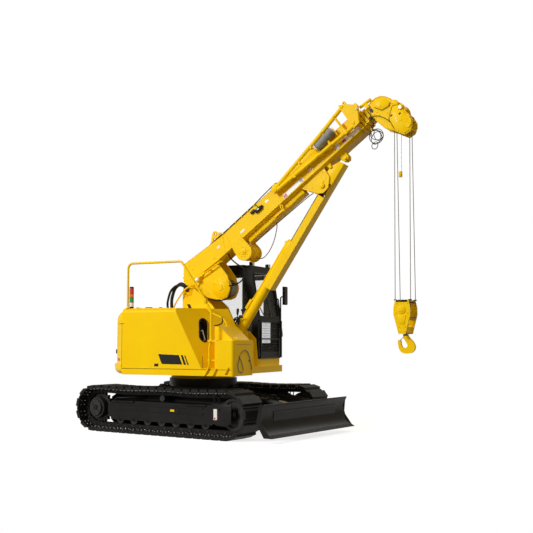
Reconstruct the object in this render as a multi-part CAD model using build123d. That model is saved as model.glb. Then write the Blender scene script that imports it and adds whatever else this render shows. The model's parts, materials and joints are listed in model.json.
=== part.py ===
from build123d import *
import os
from math import atan2, ceil, cos, degrees, hypot, pi, radians, sin, sqrt

# Telescopic crawler crane on an excavator-type carrier with tracks, dozer blade and cab.
# Millimetres. The model space has X forward, Y left, Z up and its origin on the ground on
# the slewing axis; the shift at the end puts the origin under the middle of the crane.

# ---- clearances ----
SEAT_GAP = 0.3          # curved faces that rest on each other
RUNNING_FIT = 0.05      # radial clearance of a pin in its bore
FREE_GAP = 6.0          # moving pieces beside each other

# ---- tracks ----
TRACK_LENGTH = 3598.0
TRACK_HEIGHT = 770.0
TRACK_CENTRE = 990.0    # each track's middle plane, from the crane's middle plane
SHOE_WIDTH = 500.0
SHOE_COUNT = 43
PAD_THICKNESS = 36.0
SHOE_PLATE = 20.0
LINK_HALF_HEIGHT = 40.0
LINK_THICKNESS = 32.0
LINK_SPAN = 150.0       # across both rows of links
TRACK_SAG = 16.0

# ---- side frames, wheels and rollers ----
FRAME_WIDTH = 260.0
FRAME_LENGTH = 2300.0
FRAME_BOTTOM = 320.0
FRAME_TOP = 520.0
SKIRT_BOTTOM = 205.0
SKIRT_PLATE = 22.0
ROLLER_COUNT = 7
ROLLER_RADIUS = 82.0
ROLLER_PITCH = 300.0
CARRIER_RADIUS = 50.0
CARRIER_DROP = 3.0      # the carrier roller stays this much below the track
ROLLER_SHAFT_RADIUS = 24.0
IDLER_WIDTH = 86.0
SPROCKET_WIDTH = 60.0
MOTOR_RADIUS = 168.0

# ---- centre frame and slewing ring ----
CENTRE_HALF = 480.0
CENTRE_BOTTOM = 330.0
CENTRE_TOP = 620.0
RING_RADIUS = 575.0
RING_BORE = 430.0
RING_BOTTOM = 770.0
RING_TOP = 882.0
SLEW_REST = 8.0         # degrees that the upper stands turned to the left

# ---- dozer blade ----
BLADE_WIDTH = 2480.0
BLADE_TOP_X = 2106.0
BLADE_TOP_Z = 561.0
BLADE_EDGE_X = 2262.0
BLADE_EDGE_Z = 84.0
BLADE_HOLLOW_X = 2070.0
BLADE_PLATE = 22.0
ARM_PIVOT_X = 780.0
ARM_PIVOT_Z = 430.0
ARM_SPREAD = 430.0      # each arm's middle plane
ARM_WIDTH = 130.0
ARM_HEIGHT = 150.0
ARM_PIN_RADIUS = 34.0
ARM_BOSS_RADIUS = 78.0
LUG_THICKNESS = 26.0
RAM_SPREAD = 190.0      # each blade cylinder's middle plane
RAM_FOOT_X = 640.0
RAM_FOOT_Z = 640.0
RAM_EYE_X = 1930.0
RAM_EYE_Z = 430.0
RAM_BARREL_RADIUS = 58.0
RAM_BARREL_LENGTH = 790.0
RAM_ROD_RADIUS = 30.0
RAM_EYE_RADIUS = 48.0
RAM_PIN_RADIUS = 24.0
RAM_EYE_WIDTH = 70.0
RAM_ROD_START = 165.0   # leaves the rod room to run back into the barrel

# ---- upper deck, counterweight and hood ----
DECK_BOTTOM = 963.0
DECK_TOP = 1077.0
SIDE_Y = 1223.0
TAIL_RADIUS = 1465.0
TAIL_LIP = 35.0
TAIL_LIP_TOP = 1125.0
TAIL_FRONT_X = -833.0
COUNTERWEIGHT_TOP = 1788.0
COUNTERWEIGHT_DEPTH = 330.0
DECK_FRONT_X = 930.0
HOOD_TOP = 2035.0
HOOD_WALL = 20.0
HOOD_FRONT_X = 790.0
HOOD_CREASE_TOP_X = 170.0
HOOD_CREASE_LOW_X = 640.0
HOOD_CREASE_LOW_Z = 1150.0
HOOD_CREASE_IN_X = 640.0
GRAB_TILT = 74.0          # the grab opening's long axis in its plane, in degrees
HOOD_ROUND = 70.0
PANEL_GAP = 6.0
LID_ROUND = 190.0
LID_HINGE_RISE = 16.0
LID_PIN_RADIUS = 8.0
LID_KNUCKLE_RADIUS = 15.0
LID_KNUCKLE_LENGTH = 90.0
ENGINE_REAR_X = -1105.0
ENGINE_FRONT_X = -505.0
ENGINE_RIGHT_Y = -780.0
ENGINE_LEFT_Y = 200.0
ENGINE_HEIGHT = 640.0

# ---- front right box, steps and rail ----
BOX_REAR_X = 955.0
BOX_FRONT_X = 1247.0
BOX_INNER_Y = 546.0
BOX_TOP = 1508.0
BOX_ROUND = 45.0
HUMP_TOP = 1740.0
STEP_PLATE = 24.0
UPPER_STEP_TOP = 1521.0
RAIL_RADIUS = 19.0
RAIL_BEND = 90.0
RAIL_TOP = 2782.0
RAIL_REAR_X = -775.0
RAIL_Y = 1150.0
RAIL_POST_X = 812.0
TOWER_RADIUS = 38.0
TOWER_TOP = 2400.0

# ---- boom mast ----
PIVOT_X = -150.0
PIVOT_Z = 2350.0
PIVOT_PIN_RADIUS = 46.0
MAST_INNER = 240.0      # inner faces of the mast's side plates
MAST_PLATE = 30.0
MAST_EAR_RADIUS = 110.0
FOOT_X = 700.0
FOOT_Z = 1640.0
FOOT_PIN_RADIUS = 38.0
FOOT_EAR_RADIUS = 95.0

# ---- cab ----
CAB_REAR_X = -480.0
CAB_FRONT_X = 900.0
CAB_RIGHT_Y = 300.0
CAB_LEFT_Y = 1185.0
CAB_FLOOR = 1200.0
CAB_TOP = 2810.0
CAB_BELT = 1880.0
CAB_RAKE = 151.0
CAB_WALL = 55.0
CAB_ROOF = 90.0
CAB_SILL = 1600.0        # lower edge of the side windows
CAB_POST = 120.0         # depth of the corner posts
CAB_BASE_ROUND = 60.0    # corner radius of the base under the cab
SEAT_X = -110.0
GUARD_BARS = (1215.0, 1528.0, 1836.0)
DOOR_REAR_X = 230.0
DOOR_FRONT_X = 800.0
DOOR_HINGE_OUT = 17.0   # the hinge's axis from the cab's side
DOOR_HINGES = (1480.0, 2460.0)
DOOR_KNUCKLE_RADIUS = 14.0
DOOR_KNUCKLE_LENGTH = 45.0
DOOR_PIN_RADIUS = 7.0
GLASS = 8.0

# ---- boom ----
BOOM_ANGLE = 37.3
BASE_HALF_WIDTH = 180.0
BASE_TOP = 381.0
BASE_SIDE_LOW = 91.0
BASE_KEEL = 61.0
BASE_FRONT = 4059.0
BASE_WALL = 7.0
SECTION_STEP = 17.0     # each section is this much smaller all round than the one before
SECTION_WALL = 6.0
SECTION_LENGTH = 3150.0
SECTION_COUNT = 5
COLLAR_LENGTH = 48.0
COLLAR_RISE = 10.0
COLLAR_PITCH = 62.0
PAD_LENGTH = 90.0
FOOT_PLATE = 22.0
EAR_RADIUS = 88.0
EAR_HALF_WIDTH = 233.0

# ---- luffing cylinder ----
LUFF_EYE_S = 2936.0
LUFF_EYE_N = -149.0
LUFF_BARREL_RADIUS = 88.0
LUFF_BARREL_LENGTH = 1790.0
LUFF_ROD_RADIUS = 45.0
LUFF_ROD_SHORT = 170.0  # the rod ends this much short of its pin's middle
LUFF_ROD_START = 900.0  # leaves the rod room to run back into the barrel
LUFF_EYE_RADIUS = 72.0
LUFF_PIN_RADIUS = 34.0
GUARD_HALF_WIDTH = 88.0
GUARD_PLATE = 5.0
GUARD_DEPTH = 128.0
GUARD_END = 14.0        # the plate on the rod's end that carries the guard
BRACKET_INNER = 110.0
BRACKET_PLATE = 16.0

# ---- winch ----
WINCH_S = 492.0
WINCH_N = -312.0
WINCH_INNER = 140.0
WINCH_PLATE = 15.0
DRUM_RADIUS = 118.0
ROPE_LAYER_RADIUS = 160.0
FLANGE_RADIUS = 186.0
FLANGE_THICKNESS = 14.0
DRUM_PIN_RADIUS = 36.0

# ---- boom head, falls and hook block ----
HEAD_SHEAVE_S = 4567.0
HEAD_SHEAVE_N = -211.0
NOSE_REACH = 155.0
TOP_SHEAVE_S = 4450.0
TOP_SHEAVE_N = 195.0
CHEEK_PLATE = 24.0
SHEAVE_RADIUS = 132.0
SHEAVE_WIDTH = 40.0
GROOVE_DEPTH = 15.0
SHEAVE_PIN_RADIUS = 30.0
HEAD_SHEAVE_SPREAD = 56.0
BLOCK_SHEAVE_SPREAD = 128.0
ROPE_RADIUS = 6.0
BLOCK_SHEAVE_Z = 1985.0
BLOCK_TOP = 2141.0
BLOCK_BOTTOM = 1615.0
BLOCK_HALF_WIDTH = 190.0
BLOCK_PLATE = 22.0
BLOCK_HALF_LENGTH = 133.0
HOOK_BOTTOM = 1315.0
HOOK_THICKNESS = 29.0
# the hook's outline from its shank round the back to the tip and along the inside, (x, z) from its lowest point
HOOK_OUTLINE = ((-30, 288), (30, 288), (62, 246), (121, 182), (151, 118), (142, 58), (99, 16), (32, 0), (-47, 10),
                (-94, 54), (-115, 125), (-121, 190), (-104, 208), (-76, 192), (-68, 132), (-42, 94), (0, 86), (33, 116),
                (21, 158), (-16, 216), (-30, 244))
HOOK_SHANK_RADIUS = 26.0
HOIST_TRAVEL = 1800.0

# ---- stowed fly jib ----
JIB_TIP_S = 2340.0
JIB_BASE_S = 3986.0
JIB_PLANE_Y = 262.0
JIB_TUBE = 34.0
JIB_BRACKETS = ((2700.0, 250.0), (3800.0, 205.0))

# reel under the foot section, hung between two cheek plates
REEL_S = 1205.0
REEL_N = -112.0
REEL_RADIUS = 148.0
REEL_CORE = 112.0
REEL_CHEEK = 15.0

# ---------------------------------------------------------------------------
# shapes used again and again
# ---------------------------------------------------------------------------


def block(x, y, z):
    """A box from three (low, high) pairs."""
    size = [high - low for low, high in (x, y, z)]
    middle = [(high + low) / 2 for low, high in (x, y, z)]
    return Pos(*middle) * Box(*size)


def prism_xz(points, low, high):
    """An outline of (x, z) points carried from y = low to y = high."""
    outline = Face(Wire.make_polygon([Vector(x, low, z) for x, z in points]))
    return extrude(outline, amount=high - low, dir=(0, 1, 0))


def prism_xy(points, low, high):
    """An outline of (x, y) points carried from z = low to z = high."""
    outline = Face(Wire.make_polygon([Vector(x, y, low) for x, y in points]))
    return extrude(outline, amount=high - low, dir=(0, 0, 1))


def prism_yz(points, low, high):
    """An outline of (y, z) points carried from x = low to x = high."""
    outline = Face(Wire.make_polygon([Vector(low, y, z) for y, z in points]))
    return extrude(outline, amount=high - low, dir=(1, 0, 0))


def bar(start, end, radius):
    """A round bar between two points."""
    start, end = Vector(*start), Vector(*end)
    length = (end - start).length
    return Plane(origin=(start + end) / 2, z_dir=end - start) * Cylinder(radius, length)


def cross_bar(x, z, radius, low, high):
    """A round bar along Y at (x, z)."""
    return bar((x, low, z), (x, high, z), radius)


def bent_tube(points, radius, bend):
    """A round tube through points, its corners bent to one radius."""
    path = FilletPolyline(*[Vector(*p) for p in points], radius=bend)
    start = Plane(origin=path @ 0, z_dir=path % 0)
    return sweep(start * Circle(radius), path=path, transition=Transition.RIGHT)


def mirrored(shape):
    """The shape and its mirror image across the middle plane, as one part."""
    return shape + mirror(shape, about=Plane.XZ)


def apart(*shapes):
    """Shapes that don't touch, kept as the separate solids of one part."""
    return Compound([solid for shape in shapes for solid in shape.solids()])


def twin(shape):
    """Two solids that don't touch: the shape and its mirror image."""
    return apart(shape, mirror(shape, about=Plane.XZ))


def ear(x, z, radius, foot, low, high):
    """A plate from y = low to high: a round end at (x, z) on a foot line of two (x, z) points."""
    (x0, z0), (x1, z1) = foot
    angle0 = atan2(z - z0, x - x0)
    angle1 = atan2(z - z1, x - x1)
    reach0 = sqrt(max(hypot(x - x0, z - z0) ** 2 - radius ** 2, 1.0))
    reach1 = sqrt(max(hypot(x - x1, z - z1) ** 2 - radius ** 2, 1.0))
    lean0 = angle0 + atan2(radius, reach0)
    lean1 = angle1 - atan2(radius, reach1)
    touch0 = (x0 + reach0 * cos(lean0), z0 + reach0 * sin(lean0))
    touch1 = (x1 + reach1 * cos(lean1), z1 + reach1 * sin(lean1))
    plate = prism_xz([(x0, z0), (x1, z1), touch1, (x, z), touch0], low, high)
    return plate + cross_bar(x, z, radius, low, high)


# ---------------------------------------------------------------------------
# tracks and undercarriage
# ---------------------------------------------------------------------------

AXLE_X = (TRACK_LENGTH - TRACK_HEIGHT) / 2
AXLE_Z = TRACK_HEIGHT / 2
SHOE_TOP = LINK_HALF_HEIGHT + SHOE_PLATE
PAD_TOP = SHOE_TOP + PAD_THICKNESS
PIN_CIRCLE = AXLE_Z - PAD_TOP
WHEEL_RADIUS = PIN_CIRCLE - LINK_HALF_HEIGHT - SEAT_GAP
FRAME_INNER = TRACK_CENTRE - FRAME_WIDTH / 2
FRAME_OUTER = TRACK_CENTRE + FRAME_WIDTH / 2
CARRIER_Z = AXLE_Z + WHEEL_RADIUS - CARRIER_RADIUS - CARRIER_DROP


def track_pins():
    """The hinge points of the track's links, evenly spaced round the two wheels."""
    straight = 2 * AXLE_X
    around = pi * PIN_CIRCLE
    pitch = 2 * (straight + around) / SHOE_COUNT
    pins = []
    for index in range(SHOE_COUNT):
        run = (index + 0.5) * pitch
        if run < straight:
            pins.append((run - AXLE_X, AXLE_Z - PIN_CIRCLE))
        elif run < straight + around:
            turn = (run - straight) / PIN_CIRCLE - pi / 2
            pins.append((AXLE_X + PIN_CIRCLE * cos(turn), AXLE_Z + PIN_CIRCLE * sin(turn)))
        elif run < 2 * straight + around:
            along = AXLE_X - (run - straight - around)
            sag = TRACK_SAG * sin(pi * along / AXLE_X) ** 2
            pins.append((along, AXLE_Z + PIN_CIRCLE - sag))
        else:
            turn = (run - 2 * straight - around) / PIN_CIRCLE + pi / 2
            pins.append((-AXLE_X + PIN_CIRCLE * cos(turn), AXLE_Z + PIN_CIRCLE * sin(turn)))
    return pins


def track_link(pins, index):
    """A link's start, unit direction, unit outward normal and length."""
    (x0, z0), (x1, z1) = pins[index], pins[(index + 1) % len(pins)]
    length = hypot(x1 - x0, z1 - z0)
    along = ((x1 - x0) / length, (z1 - z0) / length)
    return (x0, z0), along, (along[1], -along[0]), length


def track_outline(pins, offset):
    """The closed chain of link lines, moved outward by an offset with mitred corners."""
    points = []
    for index, (x, z) in enumerate(pins):
        out0 = track_link(pins, index - 1)[2]
        out1 = track_link(pins, index)[2]
        scale = offset / (1 + out0[0] * out1[0] + out0[1] * out1[1])
        points.append((x + (out0[0] + out1[0]) * scale, z + (out0[1] + out1[1]) * scale))
    return points


def shoe_outline(pins):
    """The outer outline of the shoes: flat plates, each with a raised pad."""
    corners = track_outline(pins, SHOE_TOP)
    points = []
    for index in range(len(pins)):
        (x, z), along, out, length = track_link(pins, index)
        points.append(corners[index])
        # share of the link's length, height of the outline above the link's line
        for share, height in ((0.07, SHOE_TOP), (0.14, PAD_TOP), (0.86, PAD_TOP), (0.93, SHOE_TOP)):
            run = share * length
            points.append((x + along[0] * run + out[0] * height, z + along[1] * run + out[1] * height))
    return points


def track():
    """One track loop: shoes with pads on two rows of links."""
    pins = track_pins()
    half = SHOE_WIDTH / 2
    shoes = prism_xz(shoe_outline(pins), TRACK_CENTRE - half, TRACK_CENTRE + half)
    shoes -= prism_xz(track_outline(pins, LINK_HALF_HEIGHT), TRACK_CENTRE - half - 1, TRACK_CENTRE + half + 1)
    outer = track_outline(pins, LINK_HALF_HEIGHT)
    inner = track_outline(pins, -LINK_HALF_HEIGHT)
    for side in (-1, 1):
        edge = TRACK_CENTRE + side * LINK_SPAN / 2
        low, high = sorted((edge, edge - side * LINK_THICKNESS))
        shoes += prism_xz(outer, low, high) - prism_xz(inner, low - 1, high + 1)
    return shoes


def side_frame():
    """The box beam of one track with its two skirts, idler fork and motor seat."""
    half = FRAME_LENGTH / 2
    slope = 90.0
    beam = prism_xz(
        [(-half, FRAME_BOTTOM), (half, FRAME_BOTTOM), (half, FRAME_TOP - slope), (half - slope, FRAME_TOP),
         (slope - half, FRAME_TOP), (-half, FRAME_TOP - slope)],
        FRAME_INNER, FRAME_OUTER)
    reach = half - slope
    for low in (FRAME_INNER, FRAME_OUTER - SKIRT_PLATE):
        beam += prism_xz(
            [(-reach, SKIRT_BOTTOM), (reach, SKIRT_BOTTOM), (half, FRAME_BOTTOM), (-half, FRAME_BOTTOM)],
            low, low + SKIRT_PLATE)
    # idler fork at the front, motor seat at the back
    fork = IDLER_WIDTH / 2 + FREE_GAP
    for side in (-1, 1):
        low, high = sorted((TRACK_CENTRE + side * fork, TRACK_CENTRE + side * (fork + 40)))
        beam += ear(AXLE_X, AXLE_Z, 70, ((half - 1, FRAME_TOP - slope), (half - 1, FRAME_BOTTOM)), low, high)
    seat = SPROCKET_WIDTH / 2 + FREE_GAP
    beam += ear(-AXLE_X, AXLE_Z, 150, ((1 - half, FRAME_BOTTOM), (1 - half, FRAME_TOP - slope)),
                FRAME_INNER, TRACK_CENTRE - seat)
    # raised rubbing strips on the outer face
    for z in (FRAME_BOTTOM + 40, FRAME_TOP - 70):
        beam += block((-half + 260, half - 260), (FRAME_OUTER, FRAME_OUTER + 12), (z, z + 26))
    # post of the carrier roller
    beam += block((-50, 50), (FRAME_INNER, FRAME_INNER + 40), (FRAME_TOP, CARRIER_Z + CARRIER_RADIUS * 0.7))
    return beam


def wheel(x, z, radius, width, hub):
    """A track wheel: a tread ring with a thinner disc and a hub along Y."""
    half = width / 2
    tread = cross_bar(x, z, radius, TRACK_CENTRE - half, TRACK_CENTRE + half)
    tread -= cross_bar(x, z, radius - 45, TRACK_CENTRE + half * 0.45, TRACK_CENTRE + half + 1)
    tread -= cross_bar(x, z, radius - 45, TRACK_CENTRE - half - 1, TRACK_CENTRE - half * 0.45)
    return tread + cross_bar(x, z, hub, TRACK_CENTRE - half, TRACK_CENTRE + half)


def idler():
    """The smooth front wheel of one track on its axle."""
    reach = IDLER_WIDTH / 2 + FREE_GAP
    return wheel(AXLE_X, AXLE_Z, WHEEL_RADIUS, IDLER_WIDTH, 70) + cross_bar(
        AXLE_X, AXLE_Z, 34, TRACK_CENTRE - reach, TRACK_CENTRE + reach)


def sprocket():
    """The toothed rear wheel of one track with its travel motor."""
    teeth = 21
    root = WHEEL_RADIUS - 26
    shape = wheel(-AXLE_X, AXLE_Z, root, SPROCKET_WIDTH, 120)
    tooth = prism_xz([(root - 12, -24), (root + 34, -9), (root + 34, 9), (root - 12, 24)],
                     TRACK_CENTRE - SPROCKET_WIDTH / 2, TRACK_CENTRE + SPROCKET_WIDTH / 2)
    for index in range(teeth):
        shape += Pos(-AXLE_X, 0, AXLE_Z) * Rot(0, index * 360 / teeth, 0) * tooth
    face = TRACK_CENTRE + SPROCKET_WIDTH / 2
    shape += cross_bar(-AXLE_X, AXLE_Z, MOTOR_RADIUS, face, face + 95)
    shape += cross_bar(-AXLE_X, AXLE_Z, MOTOR_RADIUS - 40, face + 95, face + 130)
    back = TRACK_CENTRE - SPROCKET_WIDTH / 2 - FREE_GAP
    return shape + cross_bar(-AXLE_X, AXLE_Z, 120, back, TRACK_CENTRE)


def rollers():
    """The bottom rollers of one track between the skirts, and the carrier roller on its post."""
    shapes = []
    height = PAD_TOP + LINK_HALF_HEIGHT + ROLLER_RADIUS + SEAT_GAP
    face_in = FRAME_INNER + SKIRT_PLATE
    face_out = FRAME_OUTER - SKIRT_PLATE
    for index in range(ROLLER_COUNT):
        x = (index - (ROLLER_COUNT - 1) / 2) * ROLLER_PITCH
        half = LINK_SPAN / 2 + 14
        roller = cross_bar(x, height, ROLLER_RADIUS, TRACK_CENTRE - half, TRACK_CENTRE + half)
        shapes.append(roller + cross_bar(x, height, ROLLER_SHAFT_RADIUS, face_in, face_out))
    half = LINK_SPAN / 2
    carrier = cross_bar(0, CARRIER_Z, CARRIER_RADIUS, TRACK_CENTRE - half, TRACK_CENTRE + half)
    shapes.append(carrier + cross_bar(0, CARRIER_Z, ROLLER_SHAFT_RADIUS, FRAME_INNER + 40, TRACK_CENTRE))
    return apart(*shapes)


def centre_frame():
    """The welded frame between the tracks, with the fixed slewing ring and the blade's lugs."""
    half = CENTRE_HALF
    shape = block((-half, half), (-half, half), (CENTRE_BOTTOM, CENTRE_TOP))
    leg = prism_xy([(120, half - 60), (half, half - 240), (900, FRAME_INNER), (520, FRAME_INNER)],
                   CENTRE_BOTTOM + 20, CENTRE_TOP - 60)
    for turn in (leg, mirror(leg, about=Plane.XZ), mirror(leg, about=Plane.YZ),
                 mirror(mirror(leg, about=Plane.XZ), about=Plane.YZ)):
        shape += turn
    shape += Pos(0, 0, (CENTRE_TOP + RING_BOTTOM) / 2) * Cylinder(RING_RADIUS - 25, RING_BOTTOM - CENTRE_TOP)
    height = RING_TOP - RING_BOTTOM
    ring = Cylinder(RING_RADIUS, height) - Cylinder(RING_BORE, height + 2)
    shape += Pos(0, 0, (RING_BOTTOM + RING_TOP) / 2) * ring
    lug_gap = ARM_WIDTH / 2 + 0.5
    for side in (-1, 1):
        for edge in (lug_gap, -lug_gap - LUG_THICKNESS):
            low = side * ARM_SPREAD + edge
            shape += ear(ARM_PIVOT_X, ARM_PIVOT_Z, ARM_BOSS_RADIUS,
                         ((half - 20, CENTRE_TOP - 70), (half - 20, CENTRE_BOTTOM)), low, low + LUG_THICKNESS)
        shape += cross_bar(ARM_PIVOT_X, ARM_PIVOT_Z, ARM_PIN_RADIUS,
                           side * ARM_SPREAD - lug_gap, side * ARM_SPREAD + lug_gap)
        ram_gap = RAM_EYE_WIDTH / 2 + 0.5
        for edge in (ram_gap, -ram_gap - LUG_THICKNESS):
            low = side * RAM_SPREAD + edge
            shape += ear(RAM_FOOT_X, RAM_FOOT_Z, RAM_EYE_RADIUS,
                         ((half - 60, CENTRE_TOP - 10), (half - 10, CENTRE_TOP - 160)), low, low + LUG_THICKNESS)
        shape += cross_bar(RAM_FOOT_X, RAM_FOOT_Z, RAM_PIN_RADIUS,
                           side * RAM_SPREAD - ram_gap, side * RAM_SPREAD + ram_gap)
    return shape


# ---------------------------------------------------------------------------
# dozer blade
# ---------------------------------------------------------------------------


def blade():
    """The curved mouldboard with its back box, end plates and cylinder lugs."""
    half = BLADE_WIDTH / 2
    top, edge = (BLADE_TOP_X, BLADE_TOP_Z), (BLADE_EDGE_X, BLADE_EDGE_Z)
    hollow_z = (BLADE_TOP_Z + BLADE_EDGE_Z) / 2 - 20
    back_top = (top[0] - BLADE_PLATE, top[1])
    back_edge = (edge[0] - 1.6 * BLADE_PLATE, edge[1])
    front = ThreePointArc((top[0], -half, top[1]), (BLADE_HOLLOW_X, -half, hollow_z), (edge[0], -half, edge[1]))
    under = Line((edge[0], -half, edge[1]), (back_edge[0], -half, back_edge[1]))
    back = ThreePointArc((back_edge[0], -half, back_edge[1]), (BLADE_HOLLOW_X - BLADE_PLATE, -half, hollow_z),
                         (back_top[0], -half, back_top[1]))
    over = Line((back_top[0], -half, back_top[1]), (top[0], -half, top[1]))
    outline = Face(Wire([front, under, back, over]))
    shape = extrude(outline, amount=BLADE_WIDTH, dir=(0, 1, 0))
    rear = BLADE_HOLLOW_X - BLADE_PLATE - 95
    stiff = half - 330
    box = block((rear, BLADE_HOLLOW_X + 30), (-stiff, stiff), (235, 455))
    front_side = prism_xz([(BLADE_TOP_X - 1, BLADE_TOP_Z), (BLADE_HOLLOW_X - 2, hollow_z + 130),
                           (BLADE_HOLLOW_X - 4, hollow_z - 110), (BLADE_EDGE_X - 40, BLADE_EDGE_Z),
                           (BLADE_EDGE_X + 400, BLADE_EDGE_Z), (BLADE_EDGE_X + 400, BLADE_TOP_Z)],
                          -stiff - 1, stiff + 1)
    shape += box - front_side
    for side in (-1, 1):
        low, high = sorted((side * half, side * (half - 20)))
        shape += prism_xz([(BLADE_TOP_X - 70, BLADE_TOP_Z), back_top, (BLADE_HOLLOW_X - BLADE_PLATE / 2, hollow_z),
                           back_edge, (BLADE_EDGE_X - 150, BLADE_EDGE_Z), (BLADE_HOLLOW_X - 95, hollow_z)],
                          low, high)
        gap = RAM_EYE_WIDTH / 2 + 0.5
        for shift in (gap, -gap - LUG_THICKNESS):
            lug = side * RAM_SPREAD + shift
            shape += ear(RAM_EYE_X, RAM_EYE_Z, RAM_EYE_RADIUS, ((rear + 4, 290), (rear + 4, 454)),
                         lug, lug + LUG_THICKNESS)
        shape += cross_bar(RAM_EYE_X, RAM_EYE_Z, RAM_PIN_RADIUS,
                           side * RAM_SPREAD - gap, side * RAM_SPREAD + gap)
    return shape


def blade_arms():
    """Two box arms from the centre frame's lugs to the back of the blade."""
    end_x = BLADE_HOLLOW_X - BLADE_PLATE - 95
    end_z = 345.0
    half = ARM_HEIGHT / 2
    low, high = ARM_SPREAD - ARM_WIDTH / 2, ARM_SPREAD + ARM_WIDTH / 2
    arm = prism_xz([(ARM_PIVOT_X, ARM_PIVOT_Z - half * 0.7), (end_x, end_z - half), (end_x, end_z + half),
                    (ARM_PIVOT_X, ARM_PIVOT_Z + half * 0.7)], low, high)
    arm += cross_bar(ARM_PIVOT_X, ARM_PIVOT_Z, ARM_BOSS_RADIUS - 8, low, high)
    arm -= cross_bar(ARM_PIVOT_X, ARM_PIVOT_Z, ARM_PIN_RADIUS + RUNNING_FIT, low - 1, high + 1)
    return twin(arm)


RAM_ANGLE = degrees(atan2(RAM_EYE_Z - RAM_FOOT_Z, RAM_EYE_X - RAM_FOOT_X))
RAM_LENGTH = hypot(RAM_EYE_X - RAM_FOOT_X, RAM_EYE_Z - RAM_FOOT_Z)
ROD_GAP = 34.0          # the blade rods end this much short of their pins' bosses


def ram_place():
    """The frame of a blade cylinder: X along it from the foot pin."""
    return Pos(RAM_FOOT_X, RAM_SPREAD, RAM_FOOT_Z) * Rot(0, -RAM_ANGLE, 0)


def blade_ram_barrels():
    """The barrels of the two blade cylinders, each with its foot eye."""
    half = RAM_EYE_WIDTH / 2
    shape = cross_bar(0, 0, RAM_EYE_RADIUS, -half, half)
    shape += bar((20, 0, 0), (RAM_BARREL_LENGTH, 0, 0), RAM_BARREL_RADIUS - 6)
    shape += bar((RAM_EYE_RADIUS + 22, 0, 0), (RAM_EYE_RADIUS + 60, 0, 0), RAM_BARREL_RADIUS)
    shape += bar((RAM_BARREL_LENGTH - 70, 0, 0), (RAM_BARREL_LENGTH, 0, 0), RAM_BARREL_RADIUS)
    shape -= bar((RAM_EYE_RADIUS + 90, 0, 0), (RAM_BARREL_LENGTH + 1, 0, 0), RAM_ROD_RADIUS + RUNNING_FIT)
    shape -= cross_bar(0, 0, RAM_PIN_RADIUS + RUNNING_FIT, -half - 1, half + 1)
    shape &= block((-200, 2000), (-half - 60, half + 60), (-200, 200)) - block(
        (-200, RAM_EYE_RADIUS + 12), (half, half + 61), (-200, 200)) - block(
        (-200, RAM_EYE_RADIUS + 12), (-half - 61, -half), (-200, 200))
    return twin(ram_place() * shape)


def blade_ram_rods():
    """The chromed rods of the two blade cylinders."""
    start = RAM_EYE_RADIUS + RAM_ROD_START
    end = RAM_LENGTH - RAM_EYE_RADIUS - ROD_GAP
    shape = bar((start, 0, 0), (end, 0, 0), RAM_ROD_RADIUS)
    shape += bar((end - 46, 0, 0), (end, 0, 0), RAM_ROD_RADIUS + 8)
    return twin(ram_place() * shape)


# ---------------------------------------------------------------------------
# upper deck, counterweight, hood and what stands on them
# ---------------------------------------------------------------------------


def tail_plan(radius, front, low, high, side=SIDE_Y):
    """The tail's plan, a disc cut at the sides and at x = front, from z = low to high."""
    disc = Pos(0, 0, (low + high) / 2) * Cylinder(radius, high - low)
    return disc & block((-2 * radius, front), (-side, side), (low - 1, high + 1))


def deck():
    """The revolving frame's deck with the cab's base above it and the turning ring below it."""
    shape = prism_xy([(TAIL_FRONT_X, -SIDE_Y), (BOX_FRONT_X, -SIDE_Y), (BOX_FRONT_X, -BOX_INNER_Y),
                      (DECK_FRONT_X, -BOX_INNER_Y), (DECK_FRONT_X, CAB_LEFT_Y), (TAIL_FRONT_X, CAB_LEFT_Y)],
                     DECK_BOTTOM, DECK_TOP)
    shape = fillet(shape.edges().filter_by(Axis.Z).filter_by(lambda e: e.center().X > 1200), BOX_ROUND)
    base = block((CAB_REAR_X, CAB_FRONT_X), (CAB_RIGHT_Y, CAB_LEFT_Y), (DECK_TOP, CAB_FLOOR))
    shape += fillet(base.edges().filter_by(Axis.Z).filter_by(lambda e: e.center().X > 0), CAB_BASE_ROUND)
    height = DECK_BOTTOM - RING_TOP
    ring = Cylinder(RING_RADIUS - 28, height) - Cylinder(RING_BORE, height + 2)
    return shape + Pos(0, 0, (RING_TOP + DECK_BOTTOM) / 2) * ring


def counterweight():
    """The cast counterweight with its rolled lower lip."""
    lip = tail_plan(TAIL_RADIUS + TAIL_LIP, TAIL_FRONT_X, DECK_BOTTOM, TAIL_LIP_TOP, SIDE_Y)
    rim = lip.faces().sort_by(Axis.Z)[0].edges().filter_by(GeomType.CIRCLE)
    lip = fillet(rim, 110)
    body = tail_plan(TAIL_RADIUS, TAIL_FRONT_X, TAIL_LIP_TOP, COUNTERWEIGHT_TOP)
    shape = lip + body
    inner = -TAIL_RADIUS + COUNTERWEIGHT_DEPTH
    shape -= prism_xy([(inner, -820), (TAIL_FRONT_X - 0.0, -1040), (TAIL_FRONT_X + 50, -1040),
                       (TAIL_FRONT_X + 50, 1040), (TAIL_FRONT_X, 1040), (inner, 820)],
                      DECK_TOP, COUNTERWEIGHT_TOP + 1)
    return shape


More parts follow.
